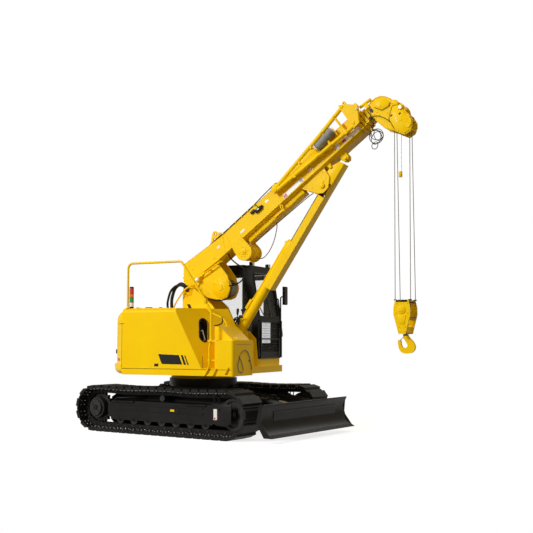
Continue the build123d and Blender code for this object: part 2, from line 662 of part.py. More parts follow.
def hood_form(inset):
    """The hood's solid form, drawn in by an inset on every face."""
    right = block((TAIL_FRONT_X - 1, HOOD_FRONT_X - inset), (-SIDE_Y + inset, -MAST_INNER - MAST_PLATE - 10 - inset),
                  (DECK_TOP, HOOD_TOP - inset))
    corner = Vector(HOOD_CREASE_TOP_X, -SIDE_Y, HOOD_TOP)
    low = Vector(HOOD_CREASE_LOW_X, -SIDE_Y, HOOD_CREASE_LOW_Z) - corner
    inward = Vector(HOOD_CREASE_IN_X, -MAST_INNER - MAST_PLATE, HOOD_TOP) - corner
    normal = low.cross(inward).normalized()
    face = Plane(origin=corner - normal * inset, z_dir=normal)
    cut = face * Pos(0, 0, 1500) * Box(6000, 6000, 3000)
    right -= cut
    behind = block((TAIL_FRONT_X - 1, PIVOT_X - MAST_EAR_RADIUS - 20 - inset),
                   (-MAST_INNER - 200, CAB_RIGHT_Y - 15 - inset), (DECK_TOP, HOOD_TOP - 130 - inset))
    left = block((TAIL_FRONT_X - 1, CAB_REAR_X - 15 - inset), (-MAST_INNER - MAST_PLATE - 20, CAB_LEFT_Y - inset),
                 (DECK_TOP, HOOD_TOP - inset))
    left -= block((PIVOT_X - MAST_EAR_RADIUS - 20, 2000), (-2000, CAB_RIGHT_Y - 15), (0, 3000))
    return right + behind + left


def hood():
    """The hood's fixed shell over the right side and behind the mast, with its grab opening."""
    outer = hood_form(0)
    outer -= block((-2000, TAIL_FRONT_X), (-2000, 2000), (0, 3000))
    upright = outer.edges().filter_by(Axis.Z).filter_by(
        lambda e: e.center().Y < -1200 and e.center().X > 0)
    ridge = outer.edges().filter_by(Axis.X).filter_by(
        lambda e: e.center().Y < -1200 and e.center().Z > HOOD_TOP - 5)
    outer = fillet(list(upright) + list(ridge), HOOD_ROUND)
    shape = outer - hood_form(HOOD_WALL)
    grab = Pos(HOOD_CREASE_LOW_X - 95, -900, 1680) * Rot(0, 0, 62) * Rot(90, 0, 0)
    slot = extrude(grab * SlotCenterToCenter(220, 165, rotation=GRAB_TILT), amount=400, both=True)
    shape -= slot
    for y in LID_HINGES:
        shape += lid_knuckle(y - LID_KNUCKLE_LENGTH / 2, True)
    return shape


LID_HINGE_X = TAIL_FRONT_X - PANEL_GAP / 2
LID_HINGE_Z = HOOD_TOP + LID_HINGE_RISE
LID_HINGES = (-700.0, 0.0, 700.0)


def lid_knuckle(start, fixed):
    """One knuckle of the lid's hinges: a fixed one carries the pin, a lid one the bore."""
    end = start + LID_KNUCKLE_LENGTH / 2 - 1
    tube = cross_bar(LID_HINGE_X, LID_HINGE_Z, LID_KNUCKLE_RADIUS, start, end)
    if fixed:
        tube += block((LID_HINGE_X, LID_HINGE_X + 45), (start, end), (HOOD_TOP - 1, LID_HINGE_Z))
        tube += cross_bar(LID_HINGE_X, LID_HINGE_Z, LID_PIN_RADIUS, start, end + LID_KNUCKLE_LENGTH / 2)
    else:
        tube += block((LID_HINGE_X - 45, LID_HINGE_X), (start, end), (HOOD_TOP - 1, LID_HINGE_Z))
        tube -= cross_bar(LID_HINGE_X, LID_HINGE_Z, LID_PIN_RADIUS + RUNNING_FIT, start - 1, end + 1)
    return tube


def lid_form(inset, low):
    """The tail lid's form, drawn in by an inset."""
    shape = tail_plan(TAIL_RADIUS - inset, TAIL_FRONT_X - PANEL_GAP, low, HOOD_TOP - inset, SIDE_Y - inset)
    rim = shape.faces().sort_by(Axis.Z)[-1].edges().filter_by(GeomType.CIRCLE)
    return fillet(rim, LID_ROUND - inset)


def engine_lid():
    """The lid over the engine, hinged along its front edge."""
    low = COUNTERWEIGHT_TOP + PANEL_GAP
    shape = lid_form(0, low) - lid_form(HOOD_WALL, low - 200)
    for y in LID_HINGES:
        shape += lid_knuckle(y, False)
    return shape


def engine_block():
    """The engine, across the bay in front of the counterweight."""
    return block((ENGINE_REAR_X, ENGINE_FRONT_X), (ENGINE_RIGHT_Y, ENGINE_LEFT_Y),
                 (DECK_TOP, DECK_TOP + ENGINE_HEIGHT))


def right_box():
    """The box at the front right corner, the hump behind it and two steps up to the hood."""
    shape = block((BOX_REAR_X, BOX_FRONT_X), (-SIDE_Y, -BOX_INNER_Y), (DECK_TOP, BOX_TOP))
    corner = shape.edges().filter_by(Axis.Z).filter_by(lambda e: e.center().X > 1200 and e.center().Y < -1200)
    shape = fillet(corner, BOX_ROUND)
    shape += prism_xz([(HOOD_FRONT_X, DECK_TOP), (HOOD_FRONT_X, HUMP_TOP), (HOOD_FRONT_X + 90, HUMP_TOP),
                       (BOX_REAR_X + 170, BOX_TOP), (BOX_REAR_X + 170, DECK_TOP)], -1000, -BOX_INNER_Y + 120)
    for z in (DECK_TOP + 120, UPPER_STEP_TOP - STEP_PLATE):
        shape += block((HOOD_FRONT_X, BOX_REAR_X), (-SIDE_Y, -SIDE_Y + 150), (z, z + STEP_PLATE))
    return shape


def guard_rail():
    """The tube rail along the right side of the hood."""
    points = [(RAIL_REAR_X, -RAIL_Y, HOOD_TOP), (RAIL_REAR_X, -RAIL_Y, RAIL_TOP),
              (255, -RAIL_Y, RAIL_TOP), (709, -RAIL_Y, 2136), (RAIL_POST_X, -RAIL_Y, 1960),
              (RAIL_POST_X, -RAIL_Y, UPPER_STEP_TOP)]
    return bent_tube(points, RAIL_RADIUS, RAIL_BEND)


def signal_tower():
    """The stacked signal light on the hood."""
    return Pos(-735, -1100, (HOOD_TOP + TOWER_TOP) / 2) * Cylinder(TOWER_RADIUS, TOWER_TOP - HOOD_TOP)


def mast():
    """The two mast plates with their web, the boom's foot pin and the cylinder's ears."""
    reach = MAST_INNER + MAST_PLATE
    rear = PIVOT_X - MAST_EAR_RADIUS
    outline = [(rear, DECK_TOP), (rear, PIVOT_Z), (PIVOT_X, PIVOT_Z), (PIVOT_X + 71, PIVOT_Z + 84),
               (150, 2250), (336, 2092), (453, 1855), (FOOT_X - 100, 1705), (FOOT_X + 60, 1668),
               (FOOT_X + 180, 1540), (DECK_FRONT_X - 10, DECK_TOP)]
    plate = prism_xz(outline, MAST_INNER, reach)
    plate += cross_bar(PIVOT_X, PIVOT_Z, MAST_EAR_RADIUS, MAST_INNER, reach)
    shape = mirrored(plate)
    shape += block((rear, rear + 26), (-reach, reach), (DECK_TOP, 2120))
    shape += cross_bar(PIVOT_X, PIVOT_Z, PIVOT_PIN_RADIUS, -reach, reach)
    inner = LUFF_BARREL_RADIUS + 2
    brace = ear(FOOT_X, FOOT_Z, FOOT_EAR_RADIUS, ((FOOT_X - 190, DECK_TOP), (FOOT_X + 170, DECK_TOP)),
                inner, inner + 30)
    shape += mirrored(brace)
    shape += cross_bar(FOOT_X, FOOT_Z, FOOT_PIN_RADIUS, -inner - 1, inner + 1)
    shape += block((FOOT_X - 200, FOOT_X + 150), (-reach, reach), (DECK_TOP, DECK_TOP + 120))
    return shape


# ---------------------------------------------------------------------------
# cab
# ---------------------------------------------------------------------------


def cab_form(inset):
    """The cab's outer form with its raked windscreen, drawn in by an inset."""
    points = [(CAB_REAR_X + inset, CAB_FLOOR + inset * 0.7), (CAB_FRONT_X - inset, CAB_FLOOR + inset * 0.7),
              (CAB_FRONT_X - inset, CAB_BELT), (CAB_FRONT_X - CAB_RAKE - inset, CAB_TOP - inset),
              (CAB_REAR_X + inset, CAB_TOP - inset)]
    return prism_xz(points, CAB_RIGHT_Y + inset, CAB_LEFT_Y - inset)


def cab_windows():
    """The window and door holes of the side and rear walls."""
    rear, front, top = CAB_REAR_X + 90, CAB_FRONT_X - CAB_WALL - CAB_POST / 2, CAB_TOP - CAB_ROOF - 60
    low, high = CAB_LEFT_Y - CAB_WALL - 1, CAB_LEFT_Y + 1
    lean = CAB_RAKE * (top - CAB_BELT) / (CAB_TOP - CAB_BELT)
    holes = prism_xz([(rear, CAB_SILL), (front, CAB_SILL), (front, CAB_BELT), (front - lean - CAB_POST / 2, top),
                      (rear, top)], CAB_RIGHT_Y - 1, CAB_RIGHT_Y + CAB_WALL + 1)
    holes += block((rear, DOOR_REAR_X - 80), (low, high), (CAB_SILL, top))
    holes += block((DOOR_REAR_X, DOOR_FRONT_X - CAB_RAKE), (low, high), (CAB_FLOOR + 60, CAB_TOP - CAB_ROOF - 30))
    holes += block((DOOR_FRONT_X - CAB_RAKE - 1, DOOR_FRONT_X), (low, high), (CAB_FLOOR + 60, CAB_BELT + 60))
    holes += block((CAB_REAR_X - 1, CAB_REAR_X + CAB_WALL + 1), (CAB_RIGHT_Y + 90, CAB_LEFT_Y - 90),
                   (CAB_BELT - 80, top))
    return holes


def cab_shell():
    """The cab's posts, floor, walls and roof around its window and door openings."""
    shape = cab_form(0) - cab_form(CAB_WALL) - cab_windows()
    width = (CAB_RIGHT_Y + 75, CAB_LEFT_Y - 75)
    screen = prism_xz([(CAB_FRONT_X - 200, CAB_BELT + 50), (CAB_FRONT_X + 50, CAB_BELT + 50),
                       (CAB_FRONT_X + 50, CAB_TOP - CAB_ROOF - 40), (CAB_FRONT_X - 400, CAB_TOP - CAB_ROOF - 40)],
                      *width)
    lower = block((CAB_FRONT_X - CAB_WALL - 5, CAB_FRONT_X + 5), width, (CAB_FLOOR + 110, CAB_BELT - 50))
    shape -= screen + lower
    # bars over the lower front window, on two uprights
    front = CAB_FRONT_X
    for z in GUARD_BARS:
        shape += block((front, front + 22), (CAB_RIGHT_Y + 30, CAB_LEFT_Y - 30), (z, z + 26))
    for y in (CAB_RIGHT_Y + 30, CAB_LEFT_Y - 60):
        shape += block((front + 22, front + 44), (y, y + 30), (GUARD_BARS[0], GUARD_BARS[-1] + 26))
    for z in DOOR_HINGES:
        shape += door_knuckle(z, True)
    return shape


def cab_glass():
    """The fixed panes: windscreen, lower front, right side, rear and left rear."""
    skin = cab_form(CAB_WALL / 2 - GLASS / 2) - cab_form(CAB_WALL / 2 + GLASS / 2)
    doorway = block((DOOR_REAR_X - 10, DOOR_FRONT_X + 10), (CAB_LEFT_Y - CAB_WALL - 1, CAB_LEFT_Y + 1), (0, 4000))
    return skin - cab_shell() - doorway


def door_knuckle(z, fixed):
    """One knuckle of the door's hinges: a fixed one carries the pin, a door one the bore."""
    x, y = DOOR_REAR_X, CAB_LEFT_Y + DOOR_HINGE_OUT
    if fixed:
        low, high = z, z + DOOR_KNUCKLE_LENGTH
        leaf = block((x - DOOR_KNUCKLE_LENGTH, x), (CAB_LEFT_Y, y), (low, high))
        pin = bar((x, y, low), (x, y, high + DOOR_KNUCKLE_LENGTH), DOOR_PIN_RADIUS)
        return leaf + pin + bar((x, y, low), (x, y, high), DOOR_KNUCKLE_RADIUS)
    low, high = z + DOOR_KNUCKLE_LENGTH + 1, z + 2 * DOOR_KNUCKLE_LENGTH
    leaf = block((x, x + DOOR_KNUCKLE_LENGTH), (CAB_LEFT_Y, y), (low, high))
    tube = leaf + bar((x, y, low), (x, y, high), DOOR_KNUCKLE_RADIUS)
    return tube - bar((x, y, low - 1), (x, y, high + 1), DOOR_PIN_RADIUS + RUNNING_FIT)


def door_leaf():
    """The outline of the cab's door as a flat leaf."""
    gap = PANEL_GAP
    points = [(DOOR_REAR_X + gap, CAB_FLOOR + 60 + gap), (DOOR_FRONT_X - gap, CAB_FLOOR + 60 + gap),
              (DOOR_FRONT_X - gap, CAB_BELT + 60 - gap), (DOOR_FRONT_X - CAB_RAKE - gap, CAB_BELT + 61 - gap),
              (DOOR_FRONT_X - CAB_RAKE - gap, CAB_TOP - CAB_ROOF - 30 - gap),
              (DOOR_REAR_X + gap, CAB_TOP - CAB_ROOF - 30 - gap)]
    return prism_xz(points, CAB_LEFT_Y - CAB_WALL + 10, CAB_LEFT_Y)


def cab_door():
    """The cab door's frame with its two panes' openings."""
    low, high = CAB_LEFT_Y - CAB_WALL, CAB_LEFT_Y + 1
    pane = block((DOOR_REAR_X + 70, DOOR_FRONT_X - CAB_RAKE - 70), (low, high),
                 (CAB_BELT + 40, CAB_TOP - CAB_ROOF - 110))
    lower = block((DOOR_REAR_X + 70, DOOR_FRONT_X - 80), (low, high), (CAB_FLOOR + 260, CAB_BELT - 30))
    shape = door_leaf() - pane - lower
    for z in DOOR_HINGES:
        shape += door_knuckle(z, False)
    return shape


def door_glass():
    """The panes of the cab door."""
    middle = CAB_LEFT_Y - CAB_WALL / 2 + 5
    leaf = door_leaf() & block((-2000, 2000), (middle - GLASS / 2, middle + GLASS / 2), (0, 4000))
    frame = cab_door()
    return leaf - frame


def cab_fittings():
    """The operator's seat on its pedestal and the control column in front of it."""
    x = SEAT_X
    middle = (CAB_RIGHT_Y + CAB_LEFT_Y) / 2
    floor = CAB_FLOOR + CAB_WALL * 0.7
    shape = block((x - 150, x + 190), (middle - 170, middle + 170), (floor, floor + 330))
    shape += block((x - 230, x + 270), (middle - 240, middle + 240), (floor + 330, floor + 460))
    shape += prism_xz([(x - 230, floor + 400), (x - 100, floor + 400), (x - 210, floor + 1080),
                       (x - 300, floor + 1080)], middle - 220, middle + 220)
    column = block((480, 640), (CAB_RIGHT_Y + 120, CAB_RIGHT_Y + 380), (floor, floor + 560))
    column += prism_xz([(430, floor + 540), (700, floor + 540), (700, floor + 640), (470, floor + 720)],
                       CAB_RIGHT_Y + 100, CAB_RIGHT_Y + 420)
    return apart(shape, column)


def mirror_arm():
    """The mirror on its tube arm at the cab's left front corner."""
    x, y = CAB_FRONT_X - 35, CAB_LEFT_Y + 80
    tube = bent_tube([(x, CAB_LEFT_Y, 1500), (x, y, 1500), (x, y, 2300), (x + 60, y + 30, 2300)], 12, 30)
    return tube + block((x + 50, x + 84), (y - 30, y + 100), (2153, 2483))


# ---------------------------------------------------------------------------
# boom: drawn along X from its foot pin, with its underside towards -Z
# ---------------------------------------------------------------------------


def boom_section_outline(index, shrink=0.0):
    """The (y, n) outline of boom section index (1 is the base), drawn in by shrink."""
    inset = (index - 1) * SECTION_STEP + shrink
    half = BASE_HALF_WIDTH - inset
    keel = half - 70
    return [(-half, BASE_SIDE_LOW + inset), (-keel, BASE_KEEL + inset), (keel, BASE_KEEL + inset),
            (half, BASE_SIDE_LOW + inset), (half, BASE_TOP - inset), (-half, BASE_TOP - inset)]


def boom_tube(index, start, end, wall):
    """A hollow length of boom section index."""
    outer = prism_yz(boom_section_outline(index), start, end)
    return outer - prism_yz(boom_section_outline(index, wall), start - 1, end + 1)


def collar(index, start):
    """The stiff collar at a section's front end, with the slide pads that the next one runs in."""
    outer = prism_yz(boom_section_outline(index, -COLLAR_RISE), start, start + COLLAR_LENGTH)
    inner = boom_section_outline(index + 1, -SEAT_GAP) if index < SECTION_COUNT else None
    if inner is None:
        return outer
    return outer - prism_yz(inner, start - 1, start + COLLAR_LENGTH + 1)


def section_front(index):
    """Where the tube of section index ends in front."""
    return BASE_FRONT + (index - 1) * COLLAR_PITCH


def reel():
    """The reel under the foot section: two cheek plates, a middle flange, its core and the web above."""
    cheek = prism_xz([(REEL_S - 120, 150), (REEL_S + 120, 150), (REEL_S + REEL_RADIUS, REEL_N),
                      (REEL_S - REEL_RADIUS, REEL_N)], BASE_HALF_WIDTH, BASE_HALF_WIDTH + REEL_CHEEK)
    cheek += cross_bar(REEL_S, REEL_N, REEL_RADIUS, BASE_HALF_WIDTH, BASE_HALF_WIDTH + REEL_CHEEK)
    shape = mirrored(cheek)
    shape += cross_bar(REEL_S, REEL_N, REEL_CORE, -BASE_HALF_WIDTH, BASE_HALF_WIDTH)
    shape += cross_bar(REEL_S, REEL_N, REEL_RADIUS - 6, -52, -38)
    shape += block((REEL_S - 90, REEL_S + 90), (-BASE_HALF_WIDTH, BASE_HALF_WIDTH), (REEL_N, BASE_KEEL + 6))
    return shape


def boom_base():
    """The boom's base section with its deep foot and foot bosses."""
    shape = boom_tube(1, 700, BASE_FRONT, BASE_WALL)
    shape += collar(1, BASE_FRONT - COLLAR_LENGTH)
    # (s, n) of the foot's side, from the tail's lower corner round to the tube
    foot = [(-6, 240), (192, 133), (701, BASE_SIDE_LOW), (1100, BASE_SIDE_LOW), (1100, BASE_TOP),
            (753, BASE_TOP + 28), (167, 467)]
    outer = prism_xz(foot, -BASE_HALF_WIDTH, BASE_HALF_WIDTH)
    low = [(30, 246), (200, 158), (701, BASE_SIDE_LOW + FOOT_PLATE), (1101, BASE_SIDE_LOW + FOOT_PLATE),
           (1101, BASE_TOP - BASE_WALL), (753, BASE_TOP + 6), (180, 440)]
    inner = prism_xz(low, -BASE_HALF_WIDTH + FOOT_PLATE, BASE_HALF_WIDTH - FOOT_PLATE)
    keep = prism_yz(boom_section_outline(1, BASE_WALL), 699, 1200)
    shape = shape + (outer - inner - keep)
    plate = ear(0, 0, EAR_RADIUS, ((420, 112), (20, 300)), BASE_HALF_WIDTH - FOOT_PLATE, BASE_HALF_WIDTH)
    plate += cross_bar(0, 0, EAR_RADIUS, BASE_HALF_WIDTH - FOOT_PLATE, EAR_HALF_WIDTH)
    shape += mirrored(plate)
    shape -= cross_bar(0, 0, PIVOT_PIN_RADIUS + RUNNING_FIT, -EAR_HALF_WIDTH - 1, EAR_HALF_WIDTH + 1)
    lug = prism_xz([(700, BASE_TOP + 8), (966, BASE_TOP - 3), (990, 500), (972, 556), (935, 582), (896, 562),
                    (790, 468)], 80, 105)
    lug -= cross_bar(935, 520, 21, 79, 106) + cross_bar(868, 452, 24, 79, 106)
    shape += mirrored(lug)
    shape += reel()
    # brackets on the right side that hold the fly jib
    for s, n in JIB_BRACKETS:
        shape += block((s - 30, s + 30), (-JIB_PLANE_Y + JIB_TUBE, -BASE_HALF_WIDTH), (n - 40, n + 40))
    return shape


def boom_slide_section(index):
    """Telescoping section index: its tube, rear slide pads and front collar."""
    front = section_front(index)
    shape = boom_tube(index, front - SECTION_LENGTH, front, SECTION_WALL)
    outer_wall = BASE_WALL if index == 2 else SECTION_WALL
    pad = prism_yz(boom_section_outline(index - 1, outer_wall + SEAT_GAP),
                   front - SECTION_LENGTH, front - SECTION_LENGTH + PAD_LENGTH)
    pad -= prism_yz(boom_section_outline(index, SECTION_WALL), front - SECTION_LENGTH - 1, front)
    shape += pad
    if index < SECTION_COUNT:
        shape += collar(index, front - COLLAR_LENGTH)
    return shape


def head_outline():
    """The (s, n) outline of the boom head's cheeks."""
    return [(4262, 60), (4262, 318), (4376, 362), (4480, 356), (4560, 320), (4612, 262), (4650, 190), (4676, 60),
            (4728, 12), (4750, -50), (4740, -110), (4706, -180), (4722, -236), (4706, -344), (4655, -410),
            (4575, -462), (4466, -446), (4385, -275), (4298, -146)]


def boom_head():
    """The head: two cheeks on the inner section's end, its top plate and sheave pins."""
    inner = BASE_HALF_WIDTH - (SECTION_COUNT - 1) * SECTION_STEP
    cheek = prism_xz(head_outline(), inner, inner + CHEEK_PLATE)
    shape = mirrored(cheek)
    shape += prism_xz([(4380, 345), (4476, 340), (4550, 308), (4600, 252), (4612, 262), (4560, 320), (4480, 356),
                       (4376, 362)], -inner, inner)
    for s, n in ((HEAD_SHEAVE_S, HEAD_SHEAVE_N), (TOP_SHEAVE_S, TOP_SHEAVE_N)):
        shape += cross_bar(s, n, SHEAVE_PIN_RADIUS, -inner - CHEEK_PLATE, inner + CHEEK_PLATE)
    shape += cross_bar(4690, -60, 38, -inner - 60, inner + 60)
    return shape


def sheave(s, n, y):
    """A rope sheave on its pin, grooved round its rim."""
    half = SHEAVE_WIDTH / 2
    disc = cross_bar(s, n, SHEAVE_RADIUS, y - half, y + half)
    ring = cross_bar(s, n, SHEAVE_RADIUS + 1, y - half * 0.5, y + half * 0.5)
    ring -= cross_bar(s, n, SHEAVE_RADIUS - GROOVE_DEPTH, y - half, y + half)
    disc -= ring
    return disc - cross_bar(s, n, SHEAVE_PIN_RADIUS + RUNNING_FIT, y - half - 1, y + half + 1)


def head_sheaves():
    """The two sheaves at the nose that carry the falls, and the one the rope enters over."""
    places = [(HEAD_SHEAVE_S, HEAD_SHEAVE_N, side * HEAD_SHEAVE_SPREAD) for side in (-1, 1)]
    places.append((TOP_SHEAVE_S, TOP_SHEAVE_N, 0))
    return apart(*[sheave(*place) for place in places])


def winch_frame():
    """The two winch plates under the boom's foot and the plate that joins them."""
    outline = [(189, 43), (440, 112), (699, 90.9), (708, -225), (640, -400), (560, -470), (WINCH_S, -505),
               (400, -480), (300, -409), (94, -172)]
    plate = prism_xz(outline, WINCH_INNER, WINCH_INNER + WINCH_PLATE)
    plate -= cross_bar(WINCH_S, WINCH_N, DRUM_PIN_RADIUS + RUNNING_FIT, WINCH_INNER - 1, WINCH_INNER + WINCH_PLATE + 1)
    shape = mirrored(plate)
    shape += prism_xz([(440, 112), (699, 90.9), (699, 60), (440, 60)], -WINCH_INNER, WINCH_INNER)
    return shape


def winch_drum():
    """The winch drum with its flanges and shaft."""
    reach = WINCH_INNER - FREE_GAP
    shape = cross_bar(WINCH_S, WINCH_N, DRUM_RADIUS, -reach, reach)
    for side in (-1, 1):
        low, high = sorted((side * reach, side * (reach - FLANGE_THICKNESS)))
        shape += cross_bar(WINCH_S, WINCH_N, FLANGE_RADIUS, low, high)
    return shape + cross_bar(WINCH_S, WINCH_N, DRUM_PIN_RADIUS, -WINCH_INNER - WINCH_PLATE, WINCH_INNER + WINCH_PLATE)


def drum_rope():
    """The rope wound on the drum, as its outer form."""
    reach = WINCH_INNER - FREE_GAP - FLANGE_THICKNESS
    shape = cross_bar(WINCH_S, WINCH_N, ROPE_LAYER_RADIUS, -reach, reach)
    return shape - cross_bar(WINCH_S, WINCH_N, DRUM_RADIUS, -reach - 1, reach + 1)


def luff_bracket():
    """The boom's bracket for the luffing cylinder, with the pin and the rod's eye."""
    s, n = LUFF_EYE_S, LUFF_EYE_N
    outline = [(2630, BASE_KEEL), (3140, BASE_KEEL), (3120, -120), (s + 60, n - 95), (s - 60, n - 105),
               (2800, -200), (2650, 20)]
    plate = prism_xz(outline, BRACKET_INNER, BRACKET_INNER + BRACKET_PLATE)
    shape = mirrored(plate)
    shape += cross_bar(s, n, LUFF_PIN_RADIUS, -BRACKET_INNER - BRACKET_PLATE - 14, BRACKET_INNER + BRACKET_PLATE + 14)
    shape += cross_bar(s, n, LUFF_EYE_RADIUS, -BRACKET_INNER, BRACKET_INNER)
    return shape


def fly_jib():
    """The fly jib stowed along the boom's right side: two legs, cross ties and its tip."""
    y = -JIB_PLANE_Y
    upper = [(JIB_TIP_S, 318), (3485, 480), (JIB_BASE_S, 566)]
    lower = [(JIB_TIP_S, 270), (3485, 215), (JIB_BASE_S, 190)]
    shape = prism_xz([(JIB_TIP_S - 90, 250), (JIB_TIP_S + 60, 250), (JIB_TIP_S + 60, 350), (JIB_TIP_S, 385),
                      (JIB_TIP_S - 90, 350)], y - 26, y + 26)
    for leg in (upper, lower):
        for start, end in zip(leg, leg[1:]):
            shape += bar((start[0], y, start[1]), (end[0], y, end[1]), JIB_TUBE)
        shape += Pos(leg[1][0], y, leg[1][1]) * Sphere(JIB_TUBE)
    for s in (2900, 3200, 3485, 3800):
        share = (s - JIB_TIP_S) / (JIB_BASE_S - JIB_TIP_S)
        shape += bar((s, y, 270 - 80 * share), (s, y, 318 + 240 * share), JIB_TUBE * 0.6)
    shape += prism_xz([(JIB_BASE_S - 21, 626), (JIB_BASE_S + 99, 544), (JIB_BASE_S + 229, 407),
                       (JIB_BASE_S + 161, 306), (JIB_BASE_S + 70, 160), (JIB_BASE_S - 50, 150)], y - 30, y + 30)
    return shape


# ---------------------------------------------------------------------------
# luffing cylinder: drawn along X from its foot pin
# ---------------------------------------------------------------------------

BOOM_TURN = radians(BOOM_ANGLE)


def from_boom(s, n):
    """The (x, z) of a point (s, n) of the boom."""
    return (PIVOT_X + s * cos(BOOM_TURN) - n * sin(BOOM_TURN),
            PIVOT_Z + s * sin(BOOM_TURN) + n * cos(BOOM_TURN))


LUFF_EYE_X, LUFF_EYE_Z = from_boom(LUFF_EYE_S, LUFF_EYE_N)
LUFF_ANGLE = degrees(atan2(LUFF_EYE_Z - FOOT_Z, LUFF_EYE_X - FOOT_X))
LUFF_LENGTH = hypot(LUFF_EYE_X - FOOT_X, LUFF_EYE_Z - FOOT_Z)


def luff_barrel():
    """The luffing cylinder's barrel with its foot eye, gland and oil pipe."""
    half = LUFF_BARREL_RADIUS + 1
    shape = cross_bar(0, 0, FOOT_EAR_RADIUS - 10, -half, half)
    shape += bar((40, 0, 0), (LUFF_BARREL_LENGTH, 0, 0), LUFF_BARREL_RADIUS - 6)
    shape += bar((150, 0, 0), (190, 0, 0), LUFF_BARREL_RADIUS)
    shape += bar((LUFF_BARREL_LENGTH - 110, 0, 0), (LUFF_BARREL_LENGTH, 0, 0), LUFF_BARREL_RADIUS)
    shape -= bar((230, 0, 0), (LUFF_BARREL_LENGTH + 1, 0, 0), LUFF_ROD_RADIUS + RUNNING_FIT)
    shape -= cross_bar(0, 0, FOOT_PIN_RADIUS + RUNNING_FIT, -half - 1, half + 1)
    return shape


def luff_rod():
    """The chromed rod of the luffing cylinder."""
    return bar((LUFF_ROD_START, 0, 0), (LUFF_LENGTH - LUFF_ROD_SHORT, 0, 0), LUFF_ROD_RADIUS)


def luff_guard():
    """The channel that covers the rod and slides along the barrel."""
    start = 930.0
    end = LUFF_LENGTH - LUFF_ROD_SHORT
    outer = GUARD_HALF_WIDTH + 14
    shape = block((start, end), (-outer, outer), (-GUARD_DEPTH, -LUFF_ROD_RADIUS * 0.3))
    inner = outer - GUARD_PLATE
    shape -= block((start - 1, end + 1), (-inner, inner), (-GUARD_DEPTH + GUARD_PLATE, 200))
    return shape + block((end, end + GUARD_END), (-outer, outer), (-GUARD_DEPTH, LUFF_ROD_RADIUS * 0.8))


# ---------------------------------------------------------------------------
# falls and hook block, hanging plumb under the nose sheaves
# ---------------------------------------------------------------------------

HOOK_X, HEAD_SHEAVE_Z = from_boom(HEAD_SHEAVE_S, HEAD_SHEAVE_N)
ROPE_LINE = SHEAVE_RADIUS - GROOVE_DEPTH + ROPE_RADIUS + SEAT_GAP


def hoist_falls():
    """The four falls of rope between the nose sheaves and the block's sheaves."""
    falls = []
    for side_x in (-1, 1):
        for side_y in (-1, 1):
            x = HOOK_X + side_x * ROPE_LINE
            falls.append(bar((x, side_y * BLOCK_SHEAVE_SPREAD, BLOCK_SHEAVE_Z),
                             (x, side_y * HEAD_SHEAVE_SPREAD, HEAD_SHEAVE_Z), ROPE_RADIUS))
    return apart(*falls)


def hook_block():
    """The block's two cheeks with its sheave pin, top straps and crosshead."""
    x, half = HOOK_X, BLOCK_HALF_LENGTH
    outline = [(x - half * 0.78, BLOCK_TOP), (x + half * 0.78, BLOCK_TOP), (x + half, BLOCK_TOP - 120),
               (x + half, BLOCK_TOP - 230), (x + half * 0.42, BLOCK_BOTTOM), (x - half * 0.42, BLOCK_BOTTOM),
               (x - half, BLOCK_TOP - 230), (x - half, BLOCK_TOP - 120)]
    shape = mirrored(prism_xz(outline, BLOCK_HALF_WIDTH - BLOCK_PLATE, BLOCK_HALF_WIDTH))
    shape += cross_bar(x, BLOCK_SHEAVE_Z, SHEAVE_PIN_RADIUS, -BLOCK_HALF_WIDTH, BLOCK_HALF_WIDTH)
    inner = BLOCK_HALF_WIDTH - BLOCK_PLATE
    crosshead = block((x - 50, x + 50), (-inner, inner), (BLOCK_BOTTOM + 20, BLOCK_BOTTOM + 110))
    shape += crosshead - bar((x, 0, BLOCK_BOTTOM), (x, 0, BLOCK_BOTTOM + 200), HOOK_SHANK_RADIUS + RUNNING_FIT)
    # rope keepers across the top
    for side in (-1, 1):
        shape += cross_bar(x + side * half * 0.6, BLOCK_TOP - 18, 10, -inner, inner)
    return shape


def block_sheaves():
    """The two sheaves of the hook block."""
    return twin(sheave(HOOK_X, BLOCK_SHEAVE_Z, BLOCK_SHEAVE_SPREAD))


def smooth_loop(points, steps):
    """A rounded closed outline through some points: each side is replaced by a curve in a number of steps."""
    rounded = []
    count = len(points)
    for index in range(count):
        before, start, end, after = (points[(index + shift) % count] for shift in (-1, 0, 1, 2))
        for step in range(steps):
            t = step / steps
            rounded.append(tuple(0.5 * (2 * b + (c - a) * t + (2 * a - 5 * b + 4 * c - d) * t ** 2
                                        + (3 * b - a - 3 * c + d) * t ** 3)
                                 for a, b, c, d in zip(before, start, end, after)))
    return rounded


def hook():
    """The forged hook with its shank and nut, open towards the crane."""
    outline = smooth_loop([(HOOK_X + x, HOOK_BOTTOM + z) for x, z in HOOK_OUTLINE], 4)
    bowl = prism_xz(outline, -HOOK_THICKNESS, HOOK_THICKNESS)
    shank_top = BLOCK_BOTTOM + 110 + 46
    shape = bowl + bar((HOOK_X, 0, HOOK_BOTTOM + 235), (HOOK_X, 0, shank_top), HOOK_SHANK_RADIUS)
    return shape + bar((HOOK_X, 0, shank_top - 45), (HOOK_X, 0, shank_top), HOOK_SHANK_RADIUS + 20)


# ---------------------------------------------------------------------------
# where everything goes
# ---------------------------------------------------------------------------

NOSE_X = from_boom(HEAD_SHEAVE_S + NOSE_REACH, HEAD_SHEAVE_N - NOSE_REACH)[0]
SLEW_TURN = radians(SLEW_REST)
ORIGIN_X = (NOSE_X * cos(SLEW_TURN) - TRACK_LENGTH / 2) / 2
ORIGIN_Y = (CAB_LEFT_Y + CAB_FRONT_X * sin(SLEW_TURN) + 150 - SIDE_Y - 85) / 2

